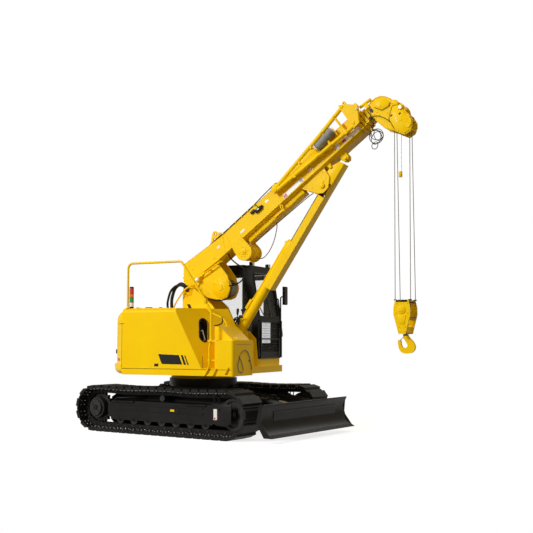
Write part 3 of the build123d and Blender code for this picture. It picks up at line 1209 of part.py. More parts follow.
GROUND = Pos(-ORIGIN_X, -ORIGIN_Y, 0)
UPPER = GROUND * Rot(0, 0, SLEW_REST)
BOOM = UPPER * Pos(PIVOT_X, 0, PIVOT_Z) * Rot(0, -BOOM_ANGLE, 0)
LUFF = UPPER * Pos(FOOT_X, 0, FOOT_Z) * Rot(0, -LUFF_ANGLE, 0)

# node name, frame it is drawn in, its function
NODES = (
    ("track_right", GROUND, lambda: mirror(track(), about=Plane.XZ)),
    ("track_left", GROUND, track),
    ("side_frame_right", GROUND, lambda: mirror(side_frame(), about=Plane.XZ)),
    ("side_frame_left", GROUND, side_frame),
    ("track_wheels", GROUND, lambda: twin(apart(sprocket(), idler()))),
    ("track_rollers", GROUND, lambda: twin(rollers())),
    ("centre_frame", GROUND, centre_frame),
    ("blade", GROUND, blade),
    ("blade_arms", GROUND, blade_arms),
    ("blade_ram_barrels", GROUND, blade_ram_barrels),
    ("blade_ram_rods", GROUND, blade_ram_rods),
    ("deck", UPPER, deck),
    ("counterweight", UPPER, counterweight),
    ("hood", UPPER, hood),
    ("engine_lid", UPPER, engine_lid),
    ("engine_block", UPPER, engine_block),
    ("right_box", UPPER, right_box),
    ("guard_rail", UPPER, guard_rail),
    ("signal_tower", UPPER, signal_tower),
    ("mast", UPPER, mast),
    ("cab_shell", UPPER, cab_shell),
    ("cab_glass", UPPER, cab_glass),
    ("cab_door", UPPER, cab_door),
    ("door_glass", UPPER, door_glass),
    ("cab_fittings", UPPER, cab_fittings),
    ("side_mirror", UPPER, mirror_arm),
    ("boom_base", BOOM, boom_base),
    ("boom_section_2", BOOM, lambda: boom_slide_section(2)),
    ("boom_section_3", BOOM, lambda: boom_slide_section(3)),
    ("boom_section_4", BOOM, lambda: boom_slide_section(4)),
    ("boom_section_5", BOOM, lambda: boom_slide_section(5)),
    ("boom_head", BOOM, boom_head),
    ("head_sheaves", BOOM, head_sheaves),
    ("luff_bracket", BOOM, luff_bracket),
    ("winch_frame", BOOM, winch_frame),
    ("winch_drum", BOOM, winch_drum),
    ("drum_rope", BOOM, drum_rope),
    ("fly_jib", BOOM, fly_jib),
    ("luff_barrel", LUFF, luff_barrel),
    ("luff_rod", LUFF, luff_rod),
    ("luff_guard", LUFF, luff_guard),
    ("hoist_falls", UPPER, hoist_falls),
    ("hook_block", UPPER, hook_block),
    ("block_sheaves", UPPER, block_sheaves),
    ("hook", UPPER, hook),
)


def main():
    """Builds every node and writes one STEP file for each."""
    os.makedirs("parts", exist_ok=True)
    for name, frame, make in NODES:
        export_step(frame * make(), f"parts/{name}.step")


if __name__ == "__main__":
    main()
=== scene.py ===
"""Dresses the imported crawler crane: finishes for every solid, and the fittings that ride on its bodies."""

import json
import logging
from dataclasses import dataclass
from enum import Enum
from math import cos, pi, radians, sin
from typing import Iterable, Optional, Sequence

import bmesh
import bpy
from mathutils import Matrix, Vector


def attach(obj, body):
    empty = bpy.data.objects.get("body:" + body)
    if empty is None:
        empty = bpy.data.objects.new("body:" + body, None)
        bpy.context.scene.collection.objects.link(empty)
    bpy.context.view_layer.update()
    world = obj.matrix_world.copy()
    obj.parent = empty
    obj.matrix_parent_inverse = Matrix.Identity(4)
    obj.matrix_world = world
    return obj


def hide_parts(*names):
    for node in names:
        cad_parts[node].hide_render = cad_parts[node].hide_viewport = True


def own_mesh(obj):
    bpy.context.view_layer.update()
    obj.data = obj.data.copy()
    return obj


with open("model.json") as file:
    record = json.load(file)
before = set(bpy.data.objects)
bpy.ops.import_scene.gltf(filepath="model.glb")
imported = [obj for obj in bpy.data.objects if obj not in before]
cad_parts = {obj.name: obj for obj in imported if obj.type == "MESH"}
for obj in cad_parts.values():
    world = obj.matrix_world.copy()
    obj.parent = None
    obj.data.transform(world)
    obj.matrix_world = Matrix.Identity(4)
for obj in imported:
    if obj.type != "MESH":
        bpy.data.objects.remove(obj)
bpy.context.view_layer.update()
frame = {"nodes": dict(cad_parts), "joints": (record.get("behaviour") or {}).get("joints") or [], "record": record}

log = logging.getLogger("crane")
Point = Sequence[float]
Row = Sequence[Point]
Socket = bpy.types.NodeSocket

SIDES = (-1, 1)
AHEAD, LEFT, RIGHT, UP = (1, 0, 0), (0, 1, 0), (0, -1, 0), (0, 0, 1)
NOSE_SHEAVE = Vector((4567, 0, -211))
BRACKET_PIN = Vector((2936, 0, -149))
WHITE = (1.0, 1.0, 1.0, 1.0)


# ---- places ----
def joint(name: str) -> dict:
    """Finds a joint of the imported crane.

    Args:
        name: the joint's name.

    Returns:
        The joint's row in the record.
    """
    return next(row for row in frame["joints"] if row["name"] == name)


@dataclass(frozen=True)
class Places:
    """The local frames of the crane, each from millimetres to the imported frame."""

    ground: Matrix
    upper: Matrix
    boom: Matrix
    luff: Matrix

    @classmethod
    def read(cls) -> "Places":
        """Reads the frames from the joints at rest.

        Returns:
            The frames of ground, upper, boom and luffing cylinder.
        """
        mm = Matrix.Scale(0.001, 4)
        slew = Vector(joint("slew")["pos_m"])
        along = Vector(joint("telescope_2")["axis"])
        rod = Vector(joint("luff_rod_slide")["axis"])
        left = -Vector(joint("boom_luff")["axis"])
        base = Matrix.Translation((slew.x, slew.y, 0))
        forward = left.cross(Vector((0, 0, 1)))
        upright = Matrix((forward, left, (0, 0, 1))).transposed().to_4x4()
        tilt = Matrix((along, left, along.cross(left))).transposed().to_4x4()
        lean = Matrix((rod, left, rod.cross(left))).transposed().to_4x4()
        return cls(
            ground=base @ mm,
            upper=base @ upright @ mm,
            boom=Matrix.Translation(joint("boom_luff")["pos_m"]) @ tilt @ mm,
            luff=Matrix.Translation(joint("luff_cylinder_tilt")["pos_m"]) @ lean @ mm,
        )

    def of(self, body: str) -> Matrix:
        """Gives the frame that a body's pieces are drawn in.

        Args:
            body: the body's name.

        Returns:
            The frame.
        """
        if body == "undercarriage" or body.startswith(("dozer_", "blade_")):
            return self.ground
        if body.startswith("luff_"):
            return self.luff
        return self.boom if body in ("boom", "drum") or body.startswith("section_") else self.upper


PLACES = Places.read()


# ---- finishes ----
class Nodes:
    """Builds one material's node tree."""

    def __init__(self, name: str) -> None:
        """Makes an empty material with a Principled shader.

        Args:
            name: the material's name.
        """
        self.material = bpy.data.materials.new(name)
        self.material.use_nodes = True
        self.tree = self.material.node_tree
        self.tree.nodes.clear()
        self.out = self.add("ShaderNodeOutputMaterial")
        self.shader = self.add("ShaderNodeBsdfPrincipled")
        self.tree.links.new(self.shader.outputs[0], self.out.inputs[0])
        self.where = self.add("ShaderNodeTexCoord").outputs["Object"]

    def add(self, kind: str, **settings: object) -> bpy.types.Node:
        """Adds a node.

        Args:
            kind: the node's type name.
            **settings: attributes to set on it.

        Returns:
            The new node.
        """
        node = self.tree.nodes.new(kind)
        for key, value in settings.items():
            setattr(node, key, value)
        return node

    def link(self, source: Socket, target: Socket) -> None:
        """Joins two sockets."""
        self.tree.links.new(source, target)

    def noise(self, scale: float, detail: float = 4.0, stretch: Point = (1, 1, 1)) -> Socket:
        """Adds a noise pattern on Object coordinates.

        Args:
            scale: the pattern's scale per metre.
            detail: how many octaves it has.
            stretch: how much it is scaled along X, Y and Z.

        Returns:
            The pattern's value socket.
        """
        mapping = self.add("ShaderNodeMapping")
        mapping.inputs["Scale"].default_value = tuple(stretch)
        self.link(self.where, mapping.inputs["Vector"])
        node = self.add("ShaderNodeTexNoise")
        node.inputs["Scale"].default_value = scale
        node.inputs["Detail"].default_value = detail
        self.link(mapping.outputs[0], node.inputs["Vector"])
        return node.outputs["Fac"]

    def remap(self, value: Socket, low: float, high: float, to_low: float, to_high: float) -> Socket:
        """Maps a value's range to another one.

        Args:
            value: the socket to map.
            low: the value that gives to_low.
            high: the value that gives to_high.
            to_low: the lowest result.
            to_high: the highest result.

        Returns:
            The mapped value's socket.
        """
        node = self.add("ShaderNodeMapRange")
        for key, number in zip(("From Min", "From Max", "To Min", "To Max"), (low, high, to_low, to_high)):
            node.inputs[key].default_value = number
        self.link(value, node.inputs["Value"])
        return node.outputs["Result"]

    def mix(self, share: Socket, low: object, high: object) -> Socket:
        """Mixes two colours.

        Args:
            share: the socket that says how much of the second colour shows.
            low: the first colour, as numbers or a socket.
            high: the second colour, as numbers or a socket.

        Returns:
            The mixed colour's socket.
        """
        node = self.add("ShaderNodeMix", data_type="RGBA")
        self.link(share, node.inputs[0])
        for socket, colour in ((node.inputs[6], low), (node.inputs[7], high)):
            if isinstance(colour, Socket):
                self.link(colour, socket)
            else:
                socket.default_value = (*colour, 1.0)
        return node.outputs[2]

    def edges(self, radius: float) -> tuple[Socket, Socket]:
        """Rounds the shading over edges.

        Args:
            radius: the rounding's radius in metres.

        Returns:
            The rounded normal, and a value that is high on edges.
        """
        bevel = self.add("ShaderNodeBevel", samples=4)
        bevel.inputs["Radius"].default_value = radius
        geometry = self.add("ShaderNodeNewGeometry")
        dot = self.add("ShaderNodeVectorMath", operation="DOT_PRODUCT")
        self.link(bevel.outputs[0], dot.inputs[0])
        self.link(geometry.outputs["Normal"], dot.inputs[1])
        return bevel.outputs[0], self.remap(dot.outputs["Value"], 0.97, 0.8, 0.0, 1.0)

    def bump(self, height: Socket, distance: float, strength: float, normal: Optional[Socket] = None) -> Socket:
        """Adds relief.

        Args:
            height: the relief's height, 0 to 1.
            distance: its depth in metres.
            strength: how strongly it shows.
            normal: the normal that it is laid over.

        Returns:
            The new normal's socket.
        """
        node = self.add("ShaderNodeBump")
        node.inputs["Distance"].default_value = distance
        node.inputs["Strength"].default_value = strength
        self.link(height, node.inputs["Height"])
        if normal is not None:
            self.link(normal, node.inputs["Normal"])
        return node.outputs[0]


@dataclass(frozen=True)
class Finish:
    """A surface: two mottled colours, edges lightened by wear and by a painted highlight, and relief in one or two
    scales.
    """

    name: str
    slot: str
    colour: Point
    shade: Point
    # edge is the colour laid on edges, partly as wear and, where it is lighter, partly as a painted highlight; wear
    # says how much of it shows
    edge: Point
    wear: float = 0.25
    metal: float = 0.0
    rough: tuple[float, float] = (0.3, 0.45)
    coat: float = 0.0
    mottle: float = 3.0
    grain: float = 260.0
    relief: float = 0.0002
    rounding: float = 0.004
    stretch: tuple[float, float, float] = (1.0, 1.0, 1.0)
    soil: Point = (0.12, 0.1, 0.08)
    soiling: float = 0.0
    shine: float = 0.5

    def build(self) -> bpy.types.Material:
        """Makes the material.

        Returns:
            The finished material.
        """
        n = Nodes(self.name)
        cloud = n.noise(self.mottle, 5.0, self.stretch)
        fine = n.noise(self.grain, 3.0, self.stretch)
        normal, edge = n.edges(self.rounding)
        colour = n.mix(n.remap(cloud, 0.35, 0.7, 0.0, 1.0), self.colour, self.shade)
        if self.soiling > 0:
            patch = n.remap(n.noise(self.mottle * 4, 8.0), 0.5, 0.72, 0.0, self.soiling)
            colour = n.mix(patch, colour, self.soil)
        # Edges take the edge colour in noisy patches: partly wear, partly a painted highlight along every edge.
        edge_wear_and_highlight = n.add("ShaderNodeMath", operation="MULTIPLY")
        n.link(edge, edge_wear_and_highlight.inputs[0])
        n.link(n.remap(n.noise(28.0, 6.0), 0.4, 0.65, 0.0, self.wear), edge_wear_and_highlight.inputs[1])
        colour = n.mix(edge_wear_and_highlight.outputs[0], colour, self.edge)
        n.link(colour, n.shader.inputs["Base Color"])
        n.link(n.remap(fine, 0.3, 0.7, *self.rough), n.shader.inputs["Roughness"])
        n.shader.inputs["Metallic"].default_value = self.metal
        n.shader.inputs["Specular IOR Level"].default_value = self.shine
        n.shader.inputs["Coat Weight"].default_value = self.coat
        n.shader.inputs["Coat Roughness"].default_value = 0.08
        n.link(n.bump(fine, self.relief, 0.5, normal), n.shader.inputs["Normal"])
        return n.material


@dataclass(frozen=True)
class GlassFinish:
    """Clear glazing with a faint film."""

    name: str
    slot: str
    tint: Point
    alpha: float = 0.4

    def build(self) -> bpy.types.Material:
        """Makes the material.

        Returns:
            The finished material.
        """
        n = Nodes(self.name)
        film = n.noise(2.2, 4.0)
        n.link(n.mix(n.remap(film, 0.3, 0.7, 0.0, 1.0), self.tint, [c * 0.8 for c in self.tint]),
               n.shader.inputs["Base Color"])
        n.link(n.remap(n.noise(9.0), 0.3, 0.7, 0.02, 0.09), n.shader.inputs["Roughness"])
        n.shader.inputs["Alpha"].default_value = self.alpha
        n.shader.inputs["Specular IOR Level"].default_value = 0.6
        return n.material


@dataclass(frozen=True)
class RopeFinish:
    """Laid wire rope: slanting strands round a straight run."""

    name: str
    slot: str
    colour: Point
    gap: Point
    pitch: float = 0.03

    def build(self) -> bpy.types.Material:
        """Makes the material.

        Returns:
            The finished material.
        """
        n = Nodes(self.name)
        wave = n.add("ShaderNodeTexWave", wave_type="BANDS", bands_direction="DIAGONAL")
        wave.inputs["Scale"].default_value = 1.0 / self.pitch
        wave.inputs["Distortion"].default_value = 1.2
        n.link(n.where, wave.inputs["Vector"])
        n.link(n.mix(wave.outputs["Fac"], self.gap, self.colour), n.shader.inputs["Base Color"])
        n.link(n.remap(n.noise(90.0), 0.3, 0.7, 0.35, 0.6), n.shader.inputs["Roughness"])
        n.shader.inputs["Metallic"].default_value = 0.7
        n.link(n.bump(wave.outputs["Fac"], 0.002, 0.8), n.shader.inputs["Normal"])
        return n.material


def grey(level: float) -> Point:
    """Gives a grey of one level."""
    return (level, level, level)


class Coat(Enum):
    """The crane's finishes."""

    # Each finish's third colour is laid on its edges, as wear and, where it is lighter than the body colour, as a
    # painted highlight.
    YELLOW = Finish("enamel_yellow", "yellow_paint", (0.95, 0.63, 0.0), (0.93, 0.59, 0.0), (0.97, 0.72, 0.01),
                    wear=0.3, rough=(0.32, 0.46), coat=0.03, shine=0.08)
    BLACK = Finish("satin_black", "black_paint", grey(0.005), (0.009, 0.009, 0.0085), (0.06, 0.06, 0.058), wear=0.5,
                   rough=(0.34, 0.5), soiling=0.2, soil=(0.02, 0.018, 0.015), shine=0.14)
    FRAME = Finish("cab_black", "black_paint", grey(0.004), grey(0.007), grey(0.05), wear=0.3, rough=(0.2, 0.32),
                   coat=0.05, shine=0.2)
    TRACK = Finish("track_iron", "track_steel", grey(0.006), (0.013, 0.012, 0.011), (0.1, 0.097, 0.093), wear=0.7,
                   shine=0.16, metal=0.1, rough=(0.45, 0.66), mottle=9.0, grain=140.0, relief=0.0012, soiling=0.4,
                   soil=(0.026, 0.022, 0.018))
    CAST = Finish("cast_iron", "cast_steel", grey(0.018), (0.034, 0.033, 0.032), grey(0.2), wear=0.6, shine=0.3,
                  metal=0.4, rough=(0.38, 0.6), mottle=14.0, grain=320.0, relief=0.0006)
    STEEL = Finish("bright_steel", "chrome", (0.46, 0.46, 0.47), (0.38, 0.38, 0.39), grey(0.7), wear=0.4, metal=0.95,
                   rough=(0.22, 0.4), mottle=20.0, grain=500.0, stretch=(1.0, 1.0, 6.0))
    CHROME = Finish("hard_chrome", "chrome", (0.72, 0.73, 0.75), (0.66, 0.67, 0.69), grey(0.8), wear=0.1, metal=1.0,
                    rough=(0.06, 0.14), mottle=6.0, grain=700.0, relief=0.00005)
    RUBBER = Finish("hose_rubber", "dark_plastic", grey(0.006), grey(0.011), grey(0.04), wear=0.3, rough=(0.42, 0.6),
                    mottle=18.0, grain=600.0, shine=0.25)
    PLASTIC = Finish("moulded_black", "dark_plastic", grey(0.009), grey(0.015), grey(0.05), shine=0.25,
                     rough=(0.45, 0.62), mottle=12.0, grain=900.0, relief=0.0004)
    CLOTH = Finish("seat_cloth", "dark_plastic", (0.03, 0.031, 0.034), (0.045, 0.046, 0.05), grey(0.06),
                   rough=(0.75, 0.92), mottle=30.0, grain=1400.0, relief=0.0008)
    GREY = Finish("spool_grey", "cast_steel", (0.33, 0.33, 0.31), (0.26, 0.26, 0.24), (0.5, 0.5, 0.48), wear=0.3,
                  rough=(0.4, 0.55), mottle=12.0)
    LABEL = Finish("label_white", "lamp", (0.85, 0.85, 0.83), (0.8, 0.8, 0.78), (0.6, 0.6, 0.58), wear=0.2,
                   rough=(0.3, 0.42), grain=400.0, relief=0.00005)
    RED = Finish("label_red", "lamp", (0.62, 0.03, 0.02), (0.55, 0.025, 0.02), (0.5, 0.1, 0.08), rough=(0.3, 0.4),
                 coat=0.3, grain=400.0, relief=0.00005)
    AMBER = Finish("lamp_amber", "lamp", (0.8, 0.22, 0.01), (0.72, 0.18, 0.01), (0.85, 0.4, 0.1), rough=(0.12, 0.2),
                   coat=0.5, grain=200.0)
    GREEN = Finish("lamp_green", "lamp", (0.02, 0.33, 0.06), (0.02, 0.27, 0.05), (0.1, 0.5, 0.15), rough=(0.12, 0.2),
                   coat=0.5, grain=200.0)
    # Near-black used for dark joints and the black type plate, and as painted shade inside holes, slots, the grab
    # pocket and the gaps of the head's plates.
    BLACK_DECAL_AND_PAINTED_SHADE = Finish("black_decal_and_painted_shade", "black_paint", grey(0.006), grey(0.01), grey(0.04), shine=0.2, rough=(0.3, 0.42),
                   grain=400.0, relief=0.00005)
    GLASS = GlassFinish("cab_glazing", "glass", (0.5, 0.56, 0.56), 0.08)
    MIRROR = Finish("mirror_face", "chrome", (0.7, 0.72, 0.74), (0.66, 0.68, 0.7), grey(0.7), metal=1.0,
                    rough=(0.03, 0.06), relief=0.00001)
    ROPE = RopeFinish("laid_wire", "wire_rope", (0.3, 0.27, 0.22), (0.07, 0.06, 0.045))

    def material(self) -> bpy.types.Material:
        """Gives the finish's material, made once.

        Returns:
            The material.
        """
        if self not in MADE:
            MADE[self] = self.value.build()
        return MADE[self]


MADE: dict[Coat, bpy.types.Material] = {}


# ---- shaping ----
class Shape:
    """One piece's mesh, built up in the millimetres of a local frame."""

    def __init__(self) -> None:
        """Starts an empty mesh."""
        self.bm = bmesh.new()

    def box(self, x: Point, y: Point, z: Point, bevel: float = 0.0, turn: Optional[Matrix] = None) -> "Shape":
        """Adds a box with eased edges.

        Args:
            x: its low and high x.
            y: its low and high y.
            z: its low and high z.
            bevel: the radius of its edges.
            turn: a transform applied to it.

        Returns:
            The shape.
        """
        spans = [(min(p), max(p)) for p in (x, y, z)]
        middle = Vector([(a + b) / 2 for a, b in spans])
        size = [b - a for a, b in spans]
        place = Matrix.Translation(middle) @ Matrix.Diagonal((*size, 1.0))
        made = bmesh.ops.create_cube(self.bm, size=1.0, matrix=(turn or Matrix()) @ place)
        if bevel > 0:
            self._ease(made["verts"], bevel)
        return self

    def _ease(self, verts: Iterable[bmesh.types.BMVert], radius: float, segments: int = 2) -> None:
        """Rounds the sharp edges among some vertices."""
        edges = dict.fromkeys(e for v in verts for e in v.link_edges if e.calc_face_angle(0.0) > 0.5)
        bmesh.ops.bevel(self.bm, geom=list(edges), offset=radius, segments=segments, profile=0.5, affect="EDGES",
                        material=-1)

    def rod(self, start: Point, end: Point, radius: float, radius_end: Optional[float] = None, sides: int = 24,
            bevel: float = 0.0) -> "Shape":
        """Adds a round or tapered bar.

        Args:
            start: its first end's middle.
            end: its other end's middle.
            radius: its radius at the start.
            radius_end: its radius at the end.
            sides: how many sides it has.
            bevel: the radius of its rims.

        Returns:
            The shape.
        """
        a, b = Vector(start), Vector(end)
        run = b - a
        place = Matrix.Translation((a + b) / 2) @ run.to_track_quat("Z", "Y").to_matrix().to_4x4()
        top = radius if radius_end is None else radius_end
        made = bmesh.ops.create_cone(self.bm, cap_ends=True, segments=sides, radius1=radius, radius2=top,
                                     depth=run.length, matrix=place)
        if bevel > 0:
            rims = dict.fromkeys(e for v in made["verts"] for e in v.link_edges if e.calc_face_angle(0.0) > 1.0)
            bmesh.ops.bevel(self.bm, geom=list(rims), offset=bevel, segments=2, profile=0.5, affect="EDGES",
                            material=-1)
        return self

    def plate(self, outline: Row, face: float, back: float, bevel: float = 0.0, across: str = "y") -> "Shape":
        """Adds a flat plate from its outline.

        Args:
            outline: its corners, as (x, z), or as (y, z) for a plate across X.
            face: one end of its thickness.
            back: the other end.
            bevel: the radius of its edges.
            across: the axis of its thickness, "x" or "y".

        Returns:
            The shape.
        """
        low, high = sorted((face, back))
        reach = (0, high - low, 0) if across == "y" else (high - low, 0, 0)
        verts = [self.bm.verts.new((a, low, b) if across == "y" else (low, a, b)) for a, b in outline]
        made = bmesh.ops.extrude_face_region(self.bm, geom=[self.bm.faces.new(verts)], use_keep_orig=True)
        raised = [g for g in made["geom"] if isinstance(g, bmesh.types.BMVert)]
        bmesh.ops.translate(self.bm, verts=raised, vec=reach)
        bmesh.ops.recalc_face_normals(self.bm,
                                      faces=list(dict.fromkeys(f for v in verts + raised for f in v.link_faces)))
        if bevel > 0:
            self._ease(verts + raised, bevel)
        return self

    def patch(self, s: Point, n: Point, face: float, back: float, bevel: float = 0.0) -> "Shape":
        """Adds an upright four-cornered plate across Y; its arguments are those of box and plate."""
        return self.plate([(s[0], n[0]), (s[1], n[0]), (s[1], n[1]), (s[0], n[1])], face, back, bevel)

    def turned(self, profile: Row, origin: Point, axis: Point, steps: int = 32) -> "Shape":
        """Adds a turned form: a profile of (along, radius) points spun about an axis.

        Args:
            profile: the profile's points, open ends on the axis.
            origin: where along is 0.
            axis: the axis of turning.
            steps: how many steps the turn has.

        Returns:
            The shape.
        """
        line = Vector(axis).normalized()
        side = line.orthogonal().normalized()
        start = Vector(origin)
        verts = [self.bm.verts.new(start + line * a + side * r) for a, r in profile]
        edges = [self.bm.edges.new(pair) for pair in zip(verts, verts[1:])]
        made = bmesh.ops.spin(self.bm, geom=verts + edges, cent=start, axis=line, angle=2 * pi, steps=steps,
                              use_merge=True)
        stack = verts + [g for g in made["geom_last"] if isinstance(g, bmesh.types.BMVert)]
        group = dict.fromkeys(stack)
        while stack:
            for e in stack.pop().link_edges:
                for v in e.verts:
                    if v not in group:
                        group[v] = None
                        stack.append(v)
        bmesh.ops.remove_doubles(self.bm, verts=list(group), dist=0.05)
        alive = [v for v in group if v.is_valid]
        bmesh.ops.recalc_face_normals(self.bm, faces=list(dict.fromkeys(f for v in alive for f in v.link_faces)))
        return self

    def pipe(self, points: Row, radius: float, bend: float = 40.0, sides: int = 12) -> "Shape":
        """Adds a round pipe or hose along a route with rounded corners.

        Args:
            points: the route's corners.
            radius: the pipe's radius.
            bend: how far from each corner the bend starts.
            sides: how many sides the pipe has.

        Returns:
            The shape.
        """
        route = [Vector(p) for p in points]
        curve = bpy.data.curves.new("route", "CURVE")
        curve.dimensions = "3D"
        curve.bevel_depth = radius
        curve.bevel_resolution = max(1, sides // 4 - 1)
        curve.use_fill_caps = True
        line = [route[0]]
        for before, at, after in zip(route, route[1:], route[2:]):
            near = min(bend, (at - before).length / 2.2, (after - at).length / 2.2)
            a, b = at + (before - at).normalized() * near, at + (after - at).normalized() * near
            line += [a.lerp(at, s).lerp(at.lerp(b, s), s) for s in (0.0, 0.25, 0.5, 0.75, 1.0)]
        line.append(route[-1])
        spline = curve.splines.new("POLY")
        spline.points.add(len(line) - 1)
        for spot, p in zip(spline.points, line):
            spot.co = (*p, 1.0)
        holder = bpy.data.objects.new("route", curve)
        mesh = holder.to_mesh()
        self.bm.from_mesh(mesh)
        holder.to_mesh_clear()
        bpy.data.objects.remove(holder)
        bpy.data.curves.remove(curve)
        return self

    def loop(self, points: Row, radius: float, bend: float, sides: int = 12) -> "Shape":
        """Adds a pipe that closes on itself; its arguments are those of pipe."""
        ring = list(points)
        return self.pipe(ring + ring[:2], radius, bend, sides)

    def bolts(self, places: Row, axis: Point, radius: float = 12.0, height: float = 9.0) -> "Shape":
        """Adds six-sided bolt heads.

        Args:
            places: the middles of their seats.
            axis: the way they stand out.
            radius: a head's radius.
            height: a head's height.

        Returns:
            The shape.
        """
        line = Vector(axis).normalized() * height
        for place in places:
            self.rod(place, Vector(place) + line, radius, sides=6, bevel=1.2)
        return self

    def mirrored(self) -> "Shape":
        """Adds the mirror image across the frame's middle plane."""
        geom = list(self.bm.verts) + list(self.bm.edges) + list(self.bm.faces)
        made = bmesh.ops.mirror(self.bm, geom=geom, matrix=Matrix(), merge_dist=-1.0, axis="Y")
        bmesh.ops.recalc_face_normals(self.bm, faces=[g for g in made["geom"] if isinstance(g, bmesh.types.BMFace)])
        return self

    def finish(self, name: str, body: str, coat: Coat, smooth: float = 40.0) -> bpy.types.Object:
        """Makes the piece and lets it ride on its body.

        Args:
            name: the piece's name.
            body: the body it moves with, which also says what frame it was drawn in.
            coat: its finish.
            smooth: the angle in degrees below which edges shade smooth.

        Returns:
            The finished object.
        """
        self.bm.transform(PLACES.of(body))
        mesh = bpy.data.meshes.new(name)
        self.bm.to_mesh(mesh)
        self.bm.free()
        mesh.materials.append(coat.material())
        for polygon in mesh.polygons:
            polygon.use_smooth = True
        mesh.set_sharp_from_angle(angle=radians(smooth))
        piece = bpy.data.objects.new(name, mesh)
        bpy.context.scene.collection.objects.link(piece)
        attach(piece, body)
        log.info("%s: %d faces on %s", name, len(mesh.polygons), body)
        return piece


def coat_node(node: str, coat: Coat) -> None:
    """Gives a CAD node its finish."""
    piece = frame["nodes"][node]
    piece.data.materials.clear()
    piece.data.materials.append(coat.material())


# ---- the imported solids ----
@dataclass
class Solids:
    """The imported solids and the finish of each."""

    coats: dict[str, Coat]

    def build(self) -> None:
        """Gives every solid its finish."""
        for node, coat in self.coats.items():
            coat_node(node, coat)
            log.info("%s: %s", node, coat.value.name)


# ---- places that repeat ----
def spread(count: int, low: float, high: float) -> list[float]:
    """Gives evenly spaced numbers.

    Args:
        count: how many.
        low: the first one.
        high: the last one.

    Returns:
        The numbers.
    """
    return [low + (high - low) * index / (count - 1) for index in range(count)]


def cap(radius: float, lip: float, rise: float, rim: float, dish: float = 0.0, boss: Point = ()) -> list[Point]:
    """Gives the profile of a turned cap with an eased rim.

    Args:
        radius: the cap's radius.
        lip: how far its side goes straight up.
        rise: its height.
        rim: the radius where its top starts.
        dish: the radius where the top ends and the boss starts.
        boss: the height and radius of the boss, if there is one.

    Returns:
        The profile's (along, radius) points.
    """
    middle = [(rise, dish), tuple(boss), (boss[0], 0)] if boss else [(rise, 0)]
    return [(0, 0), (0, radius), (lip, radius), (rise, rim), *middle]


def round_y(middle: Point, radius: float, count: int, start: float = 0.0) -> list[Point]:
    """Gives points on a circle about an axis along Y.

    Args:
        middle: the circle's middle.
        radius: its radius.
        count: how many points.
        start: the first point's angle in degrees.

    Returns:
        The points.
    """
    x, y, z = middle
    turns = [radians(start) + 2 * pi * index / count for index in range(count)]
    return [(x + radius * cos(turn), y, z + radius * sin(turn)) for turn in turns]


